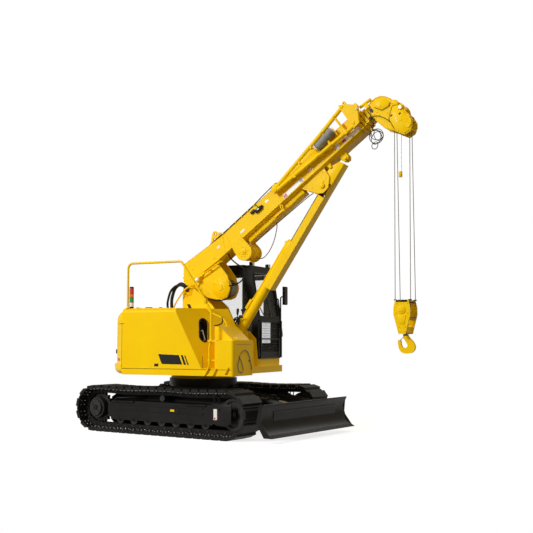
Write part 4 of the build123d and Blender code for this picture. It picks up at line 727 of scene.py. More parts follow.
# ---- undercarriage ----
@dataclass
class Tracks:
    """Link pins, shoe nuts, wheel bolts, covers and plates of the undercarriage."""

    middle: float = 990.0
    axle_x: float = 1414.0
    axle_z: float = 385.0
    circle: float = 289.0
    shoes: int = 43
    sag: float = 16.0
    link_half: float = 75.0
    link_rise: float = 40.0
    frame_face: float = 1120.0
    motor_face: float = 1115.0
    cap_face: float = 1150.0

    def build(self) -> None:
        """Makes the fittings of both tracks."""
        self.chain()
        self.wheels()
        self.covers()
        self.labels()

    def pins(self) -> list[Vector]:
        """Finds the chain's pins.

        Returns:
            Their middles on the track's own plane.
        """
        straight, around = 2 * self.axle_x, pi * self.circle
        pitch = 2 * (straight + around) / self.shoes
        found = []
        for index in range(self.shoes):
            run = (index + 0.5) * pitch
            if run < straight:
                found.append((run - self.axle_x, self.axle_z - self.circle))
            elif run < straight + around:
                turn = (run - straight) / self.circle - pi / 2
                found.append((self.axle_x + self.circle * cos(turn), self.axle_z + self.circle * sin(turn)))
            elif run < 2 * straight + around:
                along = self.axle_x - (run - straight - around)
                drop = self.sag * sin(pi * along / self.axle_x) ** 2
                found.append((along, self.axle_z + self.circle - drop))
            else:
                turn = (run - 2 * straight - around) / self.circle + pi / 2
                found.append((-self.axle_x + self.circle * cos(turn), self.axle_z + self.circle * sin(turn)))
        return [Vector((x, self.middle, z)) for x, z in found]

    def chain(self) -> None:
        """Makes the pin ends and the shoe nuts."""
        ends, nuts = Shape(), Shape()
        pins = self.pins()
        for pin, after in zip(pins, pins[1:] + pins[:1]):
            along = (after - pin).normalized()
            out = Vector((along.z, 0.0, -along.x))
            length = (after - pin).length
            for side in SIDES:
                face = Vector((0, side * self.link_half, 0))
                ends.rod(pin + face * 0.98, pin + face * 1.11, 19.0, sides=12)
                ends.rod(pin + face * 1.1, pin + face * 1.14, 9.0, sides=8)
                for share in (0.3, 0.7):
                    seat = pin + along * length * share + out * self.link_rise + face * 1.5
                    nuts.rod(seat, seat - out * 12, 15.0, sides=6)
                    nuts.rod(seat - out * 10, seat - out * 17, 7.0, sides=8)
                    outer = seat + face * 1.05
                    nuts.rod(outer, outer - out * 11, 13.0, sides=6)
        ends.mirrored().finish("track_pin_ends", "undercarriage", Coat.CAST)
        nuts.mirrored().finish("track_shoe_nuts", "undercarriage", Coat.STEEL)

    def wheels(self) -> None:
        """Makes the bolts and caps of drives, idlers and rollers."""
        bolts, caps = Shape(), Shape()
        bolts.bolts(round_y((-self.axle_x, self.motor_face, self.axle_z), 149, 18), LEFT, 9, 8)
        hub = Vector((-self.axle_x, self.cap_face, self.axle_z))
        bolts.bolts(round_y(hub, 104, 10, 18), LEFT, 8, 7)
        caps.turned([(0, 0), (10, 0), (14, 30), (12, 42), (0, 46)], hub, LEFT, 32)
        for x, z in ((62, -48), (-62, 48)):
            spot = hub + Vector((x, 0, z))
            caps.rod(spot, spot + Vector((0, 9, 0)), 13, sides=6, bevel=1.5)
        fork = Vector((self.axle_x, self.middle + 89, self.axle_z))
        caps.rod(fork, fork + Vector((0, 14, 0)), 52, bevel=4)
        bolts.bolts(round_y(fork + Vector((0, 14, 0)), 36, 6), LEFT, 7, 6)
        for x in spread(7, -900.0, 900.0):
            seat = Vector((x, self.frame_face, 218.6))
            caps.rod(seat, seat + Vector((0, 9, 0)), 30, sides=20, bevel=3)
            for step in (-46, 46):
                bolts.bolts([(x + step, self.frame_face, 240)], LEFT, 9, 8)
        bolts.mirrored().finish("drive_bolts", "undercarriage", Coat.CAST)
        caps.mirrored().finish("wheel_caps", "undercarriage", Coat.BLACK)

    def covers(self) -> None:
        """Makes the idler cover, the side frame's pocket rims, dark discs painted as the shade in its holes, welds
        and hose loops.
        """
        face = self.frame_face
        plate = Shape().plate([(1060, 541), (1438, 540), (1439, 253), (1326, 202), (1153, 212), (1060, 250)],
                              face + 0.5, face + 12, 3)
        plate.box((1170, 1215), (face + 12, face + 22), (452, 466), 3)
        plate.box((1208, 1220), (face + 12, face + 26), (440, 470), 3)
        plate.box((1330, 1400), (1078, face + 2), (300, 480), 4)
        plate.bolts([(1085, face + 12, 515), (1410, face + 12, 515), (1412, face + 12, 275), (1085, face + 12, 275)],
                    LEFT, 10, 8)
        for low, high in ((-985, -560), (530, 950)):
            plate.box((low, high), (face - 1, face + 26), (492, 516), 4)
            plate.box((low + 8, high - 8), (face + 20, face + 34), (496, 512), 4)
        plate.mirrored().finish("side_frame_covers", "undercarriage", Coat.BLACK)
        # Near-black discs painted where the side frame's holes show their shaded inside, and a dark patch on the
        # idler cover.
        dark = Shape().rod((363, face + 0.5, 400), (363, face + 2, 400), 27)
        dark.rod((-640, face + 0.5, 400), (-640, face + 2, 400), 16)
        dark.plate([(1325, 505), (1385, 505), (1385, 488), (1350, 480), (1325, 488)], face + 12, face + 13.5)
        dark.mirrored().finish("side_frame_hole_shade", "undercarriage", Coat.BLACK_DECAL_AND_PAINTED_SHADE)
        rims = Shape()
        rims.turned([(0, 27), (5, 28), (7, 32), (5, 37), (0, 38)], (363, face, 400), LEFT, 28)
        for z in (340, 470):
            rims.pipe([(-1040, face + 1, z + 13), (-905, face + 1, z + 13)], 5)
        rims.mirrored().finish("side_frame_welds", "undercarriage", Coat.BLACK)
        hoses = Shape()
        hoses.pipe([(1080, 1060, 520), (1075, 1085, 640), (1110, 1085, 668), (1150, 1070, 640), (1155, 1050, 520)],
                   9, 50)
        hoses.pipe([(-1150, 1000, 470), (-1010, 1060, 560), (-880, 1050, 560), (-560, 930, 585), (-470, 800, 590)],
                   13, 80)
        hoses.pipe([(-1150, 970, 440), (-1000, 1030, 540), (-860, 1020, 548), (-560, 900, 560), (-470, 780, 560)],
                   13, 80)
        hoses.mirrored().finish("track_hoses", "undercarriage", Coat.RUBBER)
        guard = Shape().plate([(-1180, 66), (1200, 66), (1320, 180), (1340, 385), (1300, 560), (1150, 640),
                               (-1150, 640), (-1300, 560), (-1340, 385), (-1320, 180)], 862, 872, 2)
        for x in spread(8, -1050.0, 1050.0):
            guard.box((x - 7, x + 7), (850, 864), (170, 400), 2)
        guard.mirrored().finish("rock_guards", "undercarriage", Coat.BLACK)

    def labels(self) -> None:
        """Makes the blank plates on the side frames."""
        face = self.frame_face
        tag = Shape().patch((218, 302), (373, 419), face + 0.4, face + 2)
        tag.mirrored().finish("side_frame_tags", "undercarriage", Coat.YELLOW)
        white = Shape().patch((1100, 1168), (298, 464), face + 12, face + 13.4)
        white.mirrored().finish("cover_tags", "undercarriage", Coat.LABEL)
        red = Shape().patch((1108, 1140), (306, 336), face + 13.4, face + 14)
        red.mirrored().finish("cover_tag_marks", "undercarriage", Coat.RED)


@dataclass
class Blade:
    """Cutting edge, bolts and cylinder fittings of the dozer blade."""

    top: Point = (2106.0, 561.0)
    hollow: Point = (2070.0, 302.5)
    edge: Point = (2262.0, 84.0)
    half: float = 1240.0
    ram_y: float = 190.0

    def face(self, heights: Sequence[float]) -> list[Point]:
        """Finds points on the blade's hollow face.

        Args:
            heights: the heights of the points.

        Returns:
            Their (x, z).
        """
        (ax, az), (bx, bz), (cx, cz) = self.top, self.hollow, self.edge
        d = 2 * (ax * (bz - cz) + bx * (cz - az) + cx * (az - bz))
        a2, b2, c2 = ax * ax + az * az, bx * bx + bz * bz, cx * cx + cz * cz
        x = (a2 * (bz - cz) + b2 * (cz - az) + c2 * (az - bz)) / d
        z = (a2 * (cx - bx) + b2 * (ax - cx) + c2 * (bx - ax)) / d
        radius = (Vector((x, z)) - Vector(self.top)).length
        return [(x - (radius ** 2 - (h - z) ** 2) ** 0.5, h) for h in heights]

    def build(self) -> None:
        """Makes the cutting edge, its bolts, the ribs and the hoses."""
        heights = spread(4, 86.0, 128.0)
        inner = self.face(heights)
        outline = inner + [(x + 6, z) for x, z in reversed(inner)]
        Shape().plate(outline, -self.half + 2, self.half - 2, 2).finish("cutting_edge", "dozer_blade", Coat.TRACK)
        bolts = Shape()
        (x, z), = self.face([110.0])
        bolts.bolts([(x + 3, y, z) for y in spread(12, -1150.0, 1150.0)], (1, 0, 0.7), 11, 5)
        bolts.finish("cutting_edge_bolts", "dozer_blade", Coat.CAST)
        lip = Shape().pipe([(self.top[0] - 11, -self.half + 4, 560), (self.top[0] - 11, self.half - 4, 560)], 13,
                           sides=16)
        for y in (-890.0, -640.0, 640.0, 890.0):
            lip.plate([(2068, 540), (2088, 540), (2052, 400), (2052, 210), (2100, 130), (2076, 130), (1990, 235),
                       (1990, 440)], y - 9, y + 9, 2)
        for side in SIDES:
            for step in (-56, 44):
                y = side * 430 + step
                lip.plate([(860, 500), (1000, 600), (1500, 618), (2050, 520), (2050, 440), (1900, 500)], y, y + 12, 2)
            lip.box((1080, 1180), (side * 430 - 56, side * 430 + 56), (596, 608), 2)
            lip.box((1500, 1620), (side * 430 - 56, side * 430 + 56), (600, 612), 2)
        lip.finish("blade_ribs", "dozer_blade", Coat.BLACK)
        self.rams()

    def rams(self) -> None:
        """Makes the glands, ports and hoses of the blade's cylinders."""
        foot, eye = Vector((640, self.ram_y, 640)), Vector((1930, self.ram_y, 430))
        run = (eye - foot).normalized()
        up = Vector((-run.z, 0, run.x))
        barrel, hoses, rod = Shape(), Shape(), Shape()
        gland = foot + run * 790
        barrel.rod(gland - run * 30, gland + run * 8, 62, sides=28, bevel=4)
        for at in (130.0, 715.0):
            port = foot + run * at
            barrel.rod(port + up * 50, port + up * 84, 19, sides=6, bevel=2)
        barrel.pipe([foot + run * 150 + up * 76, foot + run * 690 + up * 76], 9)
        barrel.mirrored().finish("blade_cylinder_glands", "blade_barrels", Coat.BLACK)
        start = foot + run * 130 + up * 84
        for step, reach in ((0, 60), (24, 90)):
            hoses.pipe([start + Vector((step, step, 0)), start + Vector((step - 20, step + 8, reach)),
                        (590 + step, 150, 700 + reach / 4), (470, 120, 640)], 11, 50)
        hoses.mirrored().finish("blade_cylinder_hoses", "blade_barrels", Coat.RUBBER)
        rod.rod(eye - run * 92, eye - run * 66, 40, sides=6, bevel=3)
        rod.mirrored().finish("blade_rod_nuts", "blade_rods", Coat.CAST)
        pins = Shape()
        for side in SIDES:
            pin = eye + Vector((0, side * 62, 0))
            pins.rod(pin, pin + Vector((0, side * 12, 0)), 30, sides=24, bevel=3)
        pins.mirrored().finish("blade_pin_heads", "dozer_blade", Coat.STEEL)


# ---- upper structure ----
@dataclass
class UpperWorks:
    """Seams, plates, tubes, hoses and lamps of the slewing upper."""

    side: float = 1223.0
    deck_top: float = 1077.0
    tail_x: float = -833.0
    tail_radius: float = 1465.0
    hood_top: float = 2035.0
    lid_low: float = 1794.0
    grab_at: Point = (545.0, -900.0, 1680.0)
    grab_turn: float = 62.0
    grab_tilt: float = 74.0
    grab_half: float = 84.0
    grab_reach: float = 110.0
    hood_slant: Point = (843405.0, -415950.0, 447910.0)
    pocket_way: Point = (0.8097, -0.3993, 0.43)
    pocket_depth: float = 95.0
    grab_steps: int = 40
    tower_at: Point = (-735.0, -1100.0)
    box_front: float = 1247.0
    left_side: float = 1185.0

    def build(self) -> None:
        """Makes the pieces, from the tail forwards."""
        self.seams()
        self.plates()
        self.grab()
        self.tubes()
        self.hoses()
        self.box()
        self.tower()
        self.tail()
        self.mast()
        self.left()

    def seams(self) -> None:
        """Makes the dark joints between panels."""
        y = -self.side
        seam = Shape()
        seam.box((self.tail_x, 1210), (y - 1.2, y + 2), (self.deck_top - 19, self.deck_top - 12))
        seam.box((self.tail_x - 3, self.tail_x + 3), (y - 0.6, y + 4), (self.deck_top, self.lid_low))
        seam.box((self.tail_x - 30, self.tail_x + 44), (y - 0.3, y + 3), (self.lid_low - 6, self.lid_low + 2))
        seam.box((700, 706), (y - 0.6, y + 3), (1085, 1270))
        seam.finish("panel_seams", "upper", Coat.BLACK_DECAL_AND_PAINTED_SHADE)
        edge = Shape().pipe([(self.tail_x + 6, y + 2, self.deck_top), (770, y + 2, self.deck_top)], 4.5)
        edge.pipe([(self.tail_x + 14, y + 70, self.hood_top + 0.5), (100, y + 70, self.hood_top + 0.5)], 3)
        edge.finish("hood_edges", "upper", Coat.YELLOW)

    def plates(self) -> None:
        """Makes the blank type plate with its stripes and the small square vent."""
        y = -self.side
        dark = Shape()
        for outline in (
            [(-121, 1298), (264, 1285), (330, 1136), (-53, 1140)],
            [(301, 1286), (338, 1283), (403, 1134), (357, 1135)],
            [(365, 1278), (387, 1277), (449, 1133), (425, 1133)],
        ):
            dark.plate(outline, y - 1.4, y - 0.2)
        dark.box((-196, -120), (y - 3, y - 0.2), (1101, 1147), 1.0)
        dark.finish("type_plate", "upper", Coat.BLACK_DECAL_AND_PAINTED_SHADE)
        rim = Shape()
        for z in (1112, 1124, 1136):
            rim.box((-190, -126), (y - 5, y - 2.5), (z - 2, z + 2), 0.8)
        rim.finish("vent_slats", "upper", Coat.PLASTIC)

    def slot_route(self, radius: float, lift: float) -> list[Vector]:
        """Follows the grab opening's edge on the hood's slanted face.

        Args:
            radius: half the opening's width.
            lift: how far the route stands off the face.

        Returns:
            The route's points.
        """
        turn, tilt = radians(self.grab_turn), radians(self.grab_tilt)
        across, normal = Vector((cos(turn), sin(turn), 0)), Vector((sin(turn), -cos(turn), 0))
        face = Vector(self.hood_slant).normalized()
        corner = Vector((170, -self.side, self.hood_top))
        points = []
        for index in range(self.grab_steps):
            angle = 2 * pi * index / self.grab_steps
            u = cos(angle) * radius + (self.grab_reach if cos(angle) > 0 else -self.grab_reach)
            v = sin(angle) * radius
            a, b = u * cos(tilt) - v * sin(tilt), u * sin(tilt) + v * cos(tilt)
            at = Vector(self.grab_at) + across * a + Vector((0, 0, b))
            reach = (corner - at).dot(face) / normal.dot(face)
            points.append(at + normal * reach + face * lift)
        return points

    def grab(self) -> None:
        """Makes the grab opening's seal, a near-black sheet at the back of its pocket as painted shade, and the
        handle inside.
        """
        Shape().loop(self.slot_route(self.grab_half, 1), 7, 6).finish("grab_seal", "upper", Coat.RUBBER)
        # The pocket's back is a near-black sheet: painted shade inside the recess.
        pocket = Shape()
        back = [p - Vector(self.pocket_way) * self.pocket_depth for p in self.slot_route(self.grab_half, -10)]
        verts = [pocket.bm.verts.new(p) for p in back]
        pocket.bm.faces.new(verts)
        pocket.finish("grab_pocket_painted_shade", "upper", Coat.BLACK_DECAL_AND_PAINTED_SHADE)
        middle = sum(self.slot_route(self.grab_half, -45), Vector()) / self.grab_steps
        steps = ((18, 10, -150), (44, 10, -140), (-10, 16, 20), (-38, 16, 10))
        handle = Shape().pipe([middle + Vector(step) for step in steps], 11, 30)
        handle.finish("grab_handle", "upper", Coat.LABEL)

    def tubes(self) -> None:
        """Makes the small grab rails, step bars and clamps."""
        y = -self.side
        tube = Shape()
        tube.pipe([(812, -1150, 1500), (818, y + 2, 1429), (837, y - 22, 1134), (795, y - 22, 1040),
                   (749, y - 8, 975)], 14, 60, 16)
        for x, z in ((954, 1075), (1166, 1093)):
            tube.pipe([(x, y + 4, z), (x - 6, y - 24, z - 6), (x - 48, y - 24, z - 88), (x - 54, y + 4, z - 94)], 11,
                      20, 16)
        tube.pipe([(400, -690, 2035), (435, -700, 2062), (550, -700, 1968), (742, -700, 1885), (828, -700, 1815),
                   (850, -700, 1735)], 13, 60, 16)
        tube.pipe([(-420, -330, 2035), (-357, -330, 2169), (-179, -330, 2388), (-40, -330, 2450), (-10, -262, 2440)],
                  14, 90, 16)
        tube.pipe([(709, -1150, 2136), (560, -800, 2056), (470, -660, 2048)], 12, 40, 16)
        tube.finish("grab_rails", "upper", Coat.YELLOW)
        clamp = Shape()
        for x, z in ((-775, 2040), (812, 1524)):
            clamp.rod((x, -1150, z - 4), (x, -1150, z + 8), 40, sides=28, bevel=3)
            clamp.bolts([(x + dx, -1150 + dy, z + 8) for dx, dy in ((24, 12), (-24, 12), (0, -27))], UP, 7, 6)
        clamp.box((684, 736), (-1185, -1120), (2098, 2172), 8)
        clamp.bolts([(710, -1186, 2150), (710, -1186, 2118)], RIGHT, 8, 7)
        clamp.finish("rail_clamps", "upper", Coat.YELLOW)

    def hoses(self) -> None:
        """Makes the hoses between hood and mast."""
        hose = Shape()
        hose.pipe([(-455, -300, 2036), (-470, -300, 2200), (-405, -302, 2405), (-270, -302, 2500),
                   (-165, -302, 2420), (-150, -300, 2370)], 27, 110, 20)
        hose.pipe([(-505, -350, 2036), (-520, -350, 2160), (-460, -345, 2370), (-330, -340, 2462),
                   (-200, -330, 2440), (-150, -300, 2350)], 20, 110, 16)
        hose.pipe([(620, -705, 1755), (700, -712, 1765), (762, -712, 1790), (772, -708, 1850), (748, -700, 1890)],
                  11, 40, 12)
        hose.pipe([(844, -150, 1900), (770, -150, 1900), (712, -165, 1805), (705, -170, 1700), (731, -150, 1655)],
                  13, 60, 14)
        hose.finish("mast_hoses", "upper", Coat.RUBBER)
        cuff = Shape()
        cuff.turned([(0, 27), (0, 38), (18, 38), (24, 30), (24, 27)], (-455, -300, 2034), UP, 24)
        cuff.turned([(0, 20), (0, 30), (18, 30), (24, 23), (24, 20)], (-505, -350, 2034), UP, 24)
        cuff.rod((-150, -272, 2370), (-150, -318, 2370), 34, sides=6, bevel=3)
        cuff.finish("hose_cuffs", "upper", Coat.CAST)

    def box(self) -> None:
        """Makes the front box's wire sling, lugs and lid, a dark disc painted as the shade in its hole, and a thin
        dark line.
        """
        front = self.box_front
        wire = Shape()
        upper = ((-1090, 1130), (-1010, 1300), (-880, 1372), (-770, 1350), (-690, 1250), (-640, 1130), (-612, 1045))
        lower = ((-1090, 1130), (-1060, 1040), (-960, 1010), (-900, 1060), (-960, 1180), (-1040, 1260))
        wire.pipe([(front + 9, y, z) for y, z in upper], 7, 60, 12)
        wire.pipe([(front + 9, y, z) for y, z in lower], 6, 50, 12)
        wire.finish("sling", "upper", Coat.ROPE)
        lug = Shape()
        for y, z in ((-612, 1040), (-930, 1030), (-1010, 1290)):
            lug.rod((front - 1, y, z), (front + 16, y, z), 15, sides=6, bevel=2)
        lug.box((970, 1236), (-1206, -566), (1508, 1520), 5)
        lug.box((1020, 1180), (-1010, -760), (1519, 1528), 4)
        lug.pipe([(1060, -900, 1526), (1060, -900, 1556), (1140, -900, 1556), (1140, -900, 1526)], 8, 18, 12)
        lug.bolts([(x, y, 1520) for x in (990, 1215) for y in (-1185, -880, -590)], UP, 9, 7)
        lug.finish("box_lid", "upper", Coat.YELLOW)
        # A near-black disc painted as the shade inside the box's hole, and a thin dark line across the front below
        # the lid.
        dark = Shape().rod((front + 0.2, -700, 1195), (front + 2, -700, 1195), 17)
        dark.box((front - 0.5, front + 1.2), (-1130, -640), (1452, 1457))
        dark.finish("box_hole_shade_and_line", "upper", Coat.BLACK_DECAL_AND_PAINTED_SHADE)
        tread = Shape()
        for x in spread(8, 808.0, 938.0):
            for y in spread(5, -1205.0, -1090.0):
                tread.rod((x, y, 1520), (x, y, 1524), 6, sides=8)
        tread.finish("step_studs", "upper", Coat.STEEL)

    def tower(self) -> None:
        """Makes the signal tower's stem, which replaces the plain one, and its lenses."""
        x, y = self.tower_at
        base = Shape().rod((x, y, self.hood_top), (x, y, self.hood_top + 34), 36, sides=32, bevel=3)
        base.rod((x, y, self.hood_top + 30), (x, y, 2399), 27, sides=24)
        for z in (2138, 2212, 2286):
            base.rod((x, y, z), (x, y, z + 7), 36, sides=32, bevel=1.5)
        base.rod((x, y, 2372), (x, y, 2400), 36, 31, sides=32, bevel=3)
        core = base.finish("tower_stem", "upper", Coat.PLASTIC)
        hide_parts("signal_tower")
        for name, low, high, coat in (("white", 2069, 2138, Coat.LABEL), ("green", 2145, 2212, Coat.GREEN),
                                      ("amber", 2219, 2286, Coat.AMBER), ("red", 2293, 2372, Coat.RED)):
            lens = Shape()
            steps = spread(9, low + 1.0, high - 1.0)
            profile = [(z - low, 36.5 if index % 2 else 34.5) for index, z in enumerate(steps)]
            lens.turned([(1, 26)] + profile + [(high - low - 1, 26)], (x, y, low), UP, 32)
            lens.finish(f"tower_lens_{name}", "upper", coat)

    def tail_x_at(self, y: float) -> float:
        """Gives the x of the round tail at a distance y from the middle."""
        return -(self.tail_radius ** 2 - y ** 2) ** 0.5

    def on_tail(self, y: float, z: float) -> Matrix:
        """Gives a seat on the round tail, with X pointing out.

        Args:
            y: the seat's y.
            z: the seat's height.

        Returns:
            Its transform.
        """
        out = Vector((self.tail_x_at(y), y, 0)).normalized()
        return Matrix.Translation((self.tail_x_at(y), y, z)) @ out.to_track_quat("X", "Z").to_matrix().to_4x4()

    def tail(self) -> None:
        """Makes the tail lamps, eyes and reflectors on the counterweight, and the lid's handle and louvres."""
        radius = self.tail_radius
        lamp, body = Shape(), Shape()
        for y in (-760.0, 760.0):
            turn = self.on_tail(y, 1330)
            body.box((-6, 14), (-95, 95), (-38, 38), 8, turn)
            lamp.box((10, 19), (-84, -4), (-28, 28), 6, turn)
            lamp.box((10, 19), (4, 84), (-28, 28), 6, turn)
        body.finish("tail_lamp_bodies", "upper", Coat.PLASTIC)
        lamp.finish("tail_lamps", "upper", Coat.RED)
        eyes = Shape()
        for y in (-420.0, 420.0):
            x = self.tail_x_at(y)
            eyes.turned(cap(52, 8, 12, 46, 30, (4, 27)), (x + 3, y, 1640), (x, y, 0), 28)
        eyes.turned([(-4, 0), (-4, 60), (16, 60), (22, 52), (22, 34), (8, 30), (8, 0)], (-radius, 0, 1230),
                    (-1, 0, 0), 32)
        eyes.finish("tail_eyes", "upper", Coat.YELLOW)
        lid = Shape()
        x = -radius + 22
        lid.pipe([(x, -75, 1840), (x - 30, -75, 1840), (x - 30, 75, 1840), (x, 75, 1840)], 9, 20, 14)
        lid.finish("lid_handle", "tail_lid", Coat.PLASTIC)
        vent = Shape()
        for step in spread(9, -1180.0, -960.0):
            vent.box((step - 7, step + 7), (-420, 420), (self.hood_top - 1, self.hood_top + 7), 2.5)
        vent.finish("lid_louvres", "tail_lid", Coat.PLASTIC)
        mark = Shape()
        for low in (-1160.0, 1000.0):
            mark.box((0, 3), (-80, 80), (-22, 22), 1, self.on_tail(low + 80, 1200))
        mark.finish("tail_reflectors", "upper", Coat.RED)

    def mast(self) -> None:
        """Makes near-black plates painted as the shade in the mast's slots, the pin caps and welds, and the valve
        block with its lines.
        """
        # Near-black plates painted where the mast's slots show their shaded inside.
        dark = Shape().plate([(-174, 2134), (-114, 2133), (-54, 2013), (-113, 2014)], 270.2, 271.6)
        dark.mirrored().finish("mast_slot_shade", "upper", Coat.BLACK_DECAL_AND_PAINTED_SHADE)
        pins = Shape()
        pins.turned([(0, 0), (0, 78), (10, 78), (14, 72), (14, 50), (22, 46), (24, 40), (24, 0)], (-150, 270, 2350),
                    LEFT, 40)
        pins.plate([(-250, 2290), (-200, 2262), (-120, 2290), (-180, 2322)], 271, 284, 3)
        pins.bolts([(-226, 284, 2290)], LEFT, 11, 9)
        pins.bolts(round_y((-150, 284, 2350), 62, 8, 20), LEFT, 7, 6)
        pins.turned(cap(60, 10, 14, 54), (700, 120, 1640), LEFT, 32)
        pins.plate([(640, 1600), (660, 1580), (705, 1610), (690, 1640)], 121, 138, 3)
        pins.mirrored().finish("mast_pins", "upper", Coat.YELLOW)
        weld = Shape()
        for route in ([(-255, 240, 2120), (-255, 240, 1090)], [(-245, 269, 1090), (900, 269, 1090)]):
            weld.pipe(route, 7)
        weld.mirrored().finish("mast_welds", "upper", Coat.YELLOW)
        valve = Shape()
        valve.box((190, 470), (-150, 150), (1110, 1290), 10)
        for x in spread(5, 215.0, 445.0):
            valve.box((x - 20, x + 20), (-130, 130), (1288, 1340), 6)
            for y in (-95, -30, 35, 100):
                valve.rod((x, y, 1338), (x, y, 1368), 14, sides=6, bevel=2)
        valve.finish("valve_block", "upper", Coat.CAST)
        lines = Shape()
        for index, x in enumerate(spread(5, 215.0, 445.0)):
            for y in (-95, 35):
                lines.pipe([(x, y, 1360), (x, y, 1440 + index * 8), (x + 60 - index * 30, y * 0.4, 1520),
                            (120 - index * 30, y * 1.3, 1600), (-180, y * 1.6, 1700)], 11, 60, 10)
        lines.finish("valve_lines", "upper", Coat.RUBBER)

    def left(self) -> None:
        """Makes the louvres and latch of the left housing and the hood's top hatch."""
        y = self.left_side
        louvre = Shape()
        louvre.box((-800, -545), (y - 1, y + 4), (1240, 1760), 3)
        for z in spread(13, 1270.0, 1730.0):
            louvre.box((-785, -560), (y + 2, y + 12), (z - 9, z + 9), 3)
        louvre.finish("left_louvres", "upper", Coat.PLASTIC)
        hatch = Shape()
        hatch.box((-700, -120), (-1120, -480), (self.hood_top, self.hood_top + 9), 4)
        hatch.finish("top_hatch", "upper", Coat.YELLOW)
        grip = Shape()
        for x in (-640, -190):
            grip.rod((x, -1060, self.hood_top + 8), (x, -1060, self.hood_top + 20), 24, sides=24, bevel=3)
        grip.box((-468, -352), (-1100, -1050), (self.hood_top + 8, self.hood_top + 22), 6)
        grip.box((-560, -440), (y, y + 12), (1880, 1930), 5)
        grip.finish("latches", "upper", Coat.PLASTIC)


# ---- cab ----
@dataclass
class Cab:
    """Glazing seals, roof, guard mesh, lamps and the inside of the cab."""

    rear: float = -480.0
    front: float = 900.0
    right: float = 300.0
    left: float = 1185.0
    floor: float = 1238.5
    belt: float = 1880.0
    top: float = 2810.0
    rake: float = 151.0
    seat_x: float = -110.0

    def build(self) -> None:
        """Makes the outside, then the inside."""
        self.roof()
        self.screens()
        self.door()
        self.seat()
        self.controls()

    def roof(self) -> None:
        """Makes the roof's hatch, drip rail and work lamps."""
        roof = Shape()
        roof.box((-330, 560), (430, 1055), (self.top - 1, self.top + 22), 10)
        for y in (self.right + 12, self.left - 12):
            roof.pipe([(self.rear + 20, y, self.top - 34), (self.front - self.rake - 10, y, self.top - 34)], 9)
        roof.finish("roof_hatch", "upper", Coat.FRAME)
        pale = Shape().box((self.front - self.rake - 14, self.front - self.rake + 2),
                           (self.right + 60, self.left - 60), (self.top - 60, self.top - 44), 2)
        pale.finish("roof_strip", "upper", Coat.STEEL)
        shells, glass = Shape(), Shape()
        for y in (self.right + 130, self.left - 130):
            x = self.front - self.rake - 30
            shells.box((x - 40, x + 20), (y - 52, y + 52), (self.top - 2, self.top + 66), 12)
            glass.turned([(0, 0), (0, 38), (6, 38), (9, 30), (10, 0)], (x + 20, y, self.top + 33), AHEAD, 28)
        shells.finish("work_lamp_shells", "upper", Coat.PLASTIC)
        glass.finish("work_lamp_lenses", "upper", Coat.LABEL)

    def screens(self) -> None:
        """Makes the window seals, the wiper and the mesh over the lower window."""
        low, high = self.right + 75, self.left - 75
        slope = self.rake / (self.top - self.belt)

        def on_screen(z: float) -> float:
            """Gives the windscreen's x at a height."""
            return self.front - slope * max(z - self.belt, 0) + 2

        z0, z1 = self.belt + 50, self.top - 130
        seal = Shape()
        seal.loop([(on_screen(z), y, z) for y, z in ((low, z0), (high, z0), (high, z1), (low, z1))], 9, 40)
        seal.loop([(self.front + 2, y, z) for y, z in ((low, 1310), (high, 1310), (high, 1830), (low, 1830))], 8, 40)
        y = self.right - 2
        lean = self.rake * (2660 - self.belt) / (self.top - self.belt)
        seal.loop([(-390, y, 1600), (785, y, 1600), (785, y, self.belt), (725 - lean, y, 2660), (-390, y, 2660)], 9,
                  40)
        seal.finish("window_seals", "upper", Coat.RUBBER)
        mesh = Shape()
        for y in spread(17, low + 10, high - 10):
            mesh.rod((self.front + 8, y, 1312), (self.front + 8, y, 1828), 2.6, sides=6)
        for z in spread(12, 1330.0, 1810.0):
            mesh.rod((self.front + 12, low, z), (self.front + 12, high, z), 2.6, sides=6)
        mesh.finish("guard_mesh", "upper", Coat.BLACK)
        wiper = Shape()
        wiper.pipe([(on_screen(1950) + 14, 760, 1950), (on_screen(2300) + 16, 690, 2300),
                    (on_screen(2520) + 12, 700, 2520)], 7, 60)
        wiper.pipe([(on_screen(2140) + 12, 705, 2140), (on_screen(2640) + 12, 695, 2640)], 8)
        wiper.rod((on_screen(1950) - 2, 760, 1950), (on_screen(1950) + 24, 760, 1950), 22, sides=20, bevel=3)
        wiper.finish("wiper", "upper", Coat.PLASTIC)
        step = Shape()
        for y in (420.0, 1080.0):
            step.bolts([(self.front, y, z) for z in (1290, 1860)], AHEAD, 9, 7)
        step.pipe([(self.front - 6, self.left - 4, 1560), (self.front + 38, self.left - 4, 1590),
                   (self.front - 40, self.left - 4, 2250), (self.front - 80, self.left - 4, 2262)], 12, 40, 14)
        step.finish("front_grab_rail", "upper", Coat.FRAME)
        glass = Shape().box((self.front + 16, self.front + 19.5), (self.left + 55, self.left + 175), (2165, 2472),
                            1.0)
        glass.finish("mirror_glass", "upper", Coat.MIRROR)
        shell = Shape().box((self.front + 47, self.front + 60), (self.left + 52, self.left + 178), (2160, 2478), 12)
        shell.finish("mirror_back", "upper", Coat.PLASTIC)

    def door(self) -> None:
        """Makes the door's seals and handle."""
        y = self.left + 1
        seal = Shape()
        for x0, x1, z0, z1 in ((300, 579, 1920, 2610), (300, 720, 1460, 1850)):
            seal.loop([(x0, y, z0), (x1, y, z0), (x1, y, z1), (x0, y, z1)], 8, 40)
        seal.finish("door_seals", "door", Coat.RUBBER)
        grip = Shape().pipe([(690, y, 1890), (700, y + 34, 1892), (560, y + 34, 1892), (550, y, 1890)], 10, 20, 14)
        grip.box((600, 690), (y - 1, y + 8), (1868, 1900), 3)
        grip.rod((655, y + 6, 1884), (655, y + 12, 1884), 9, sides=16)
        grip.finish("door_handle", "door", Coat.PLASTIC)

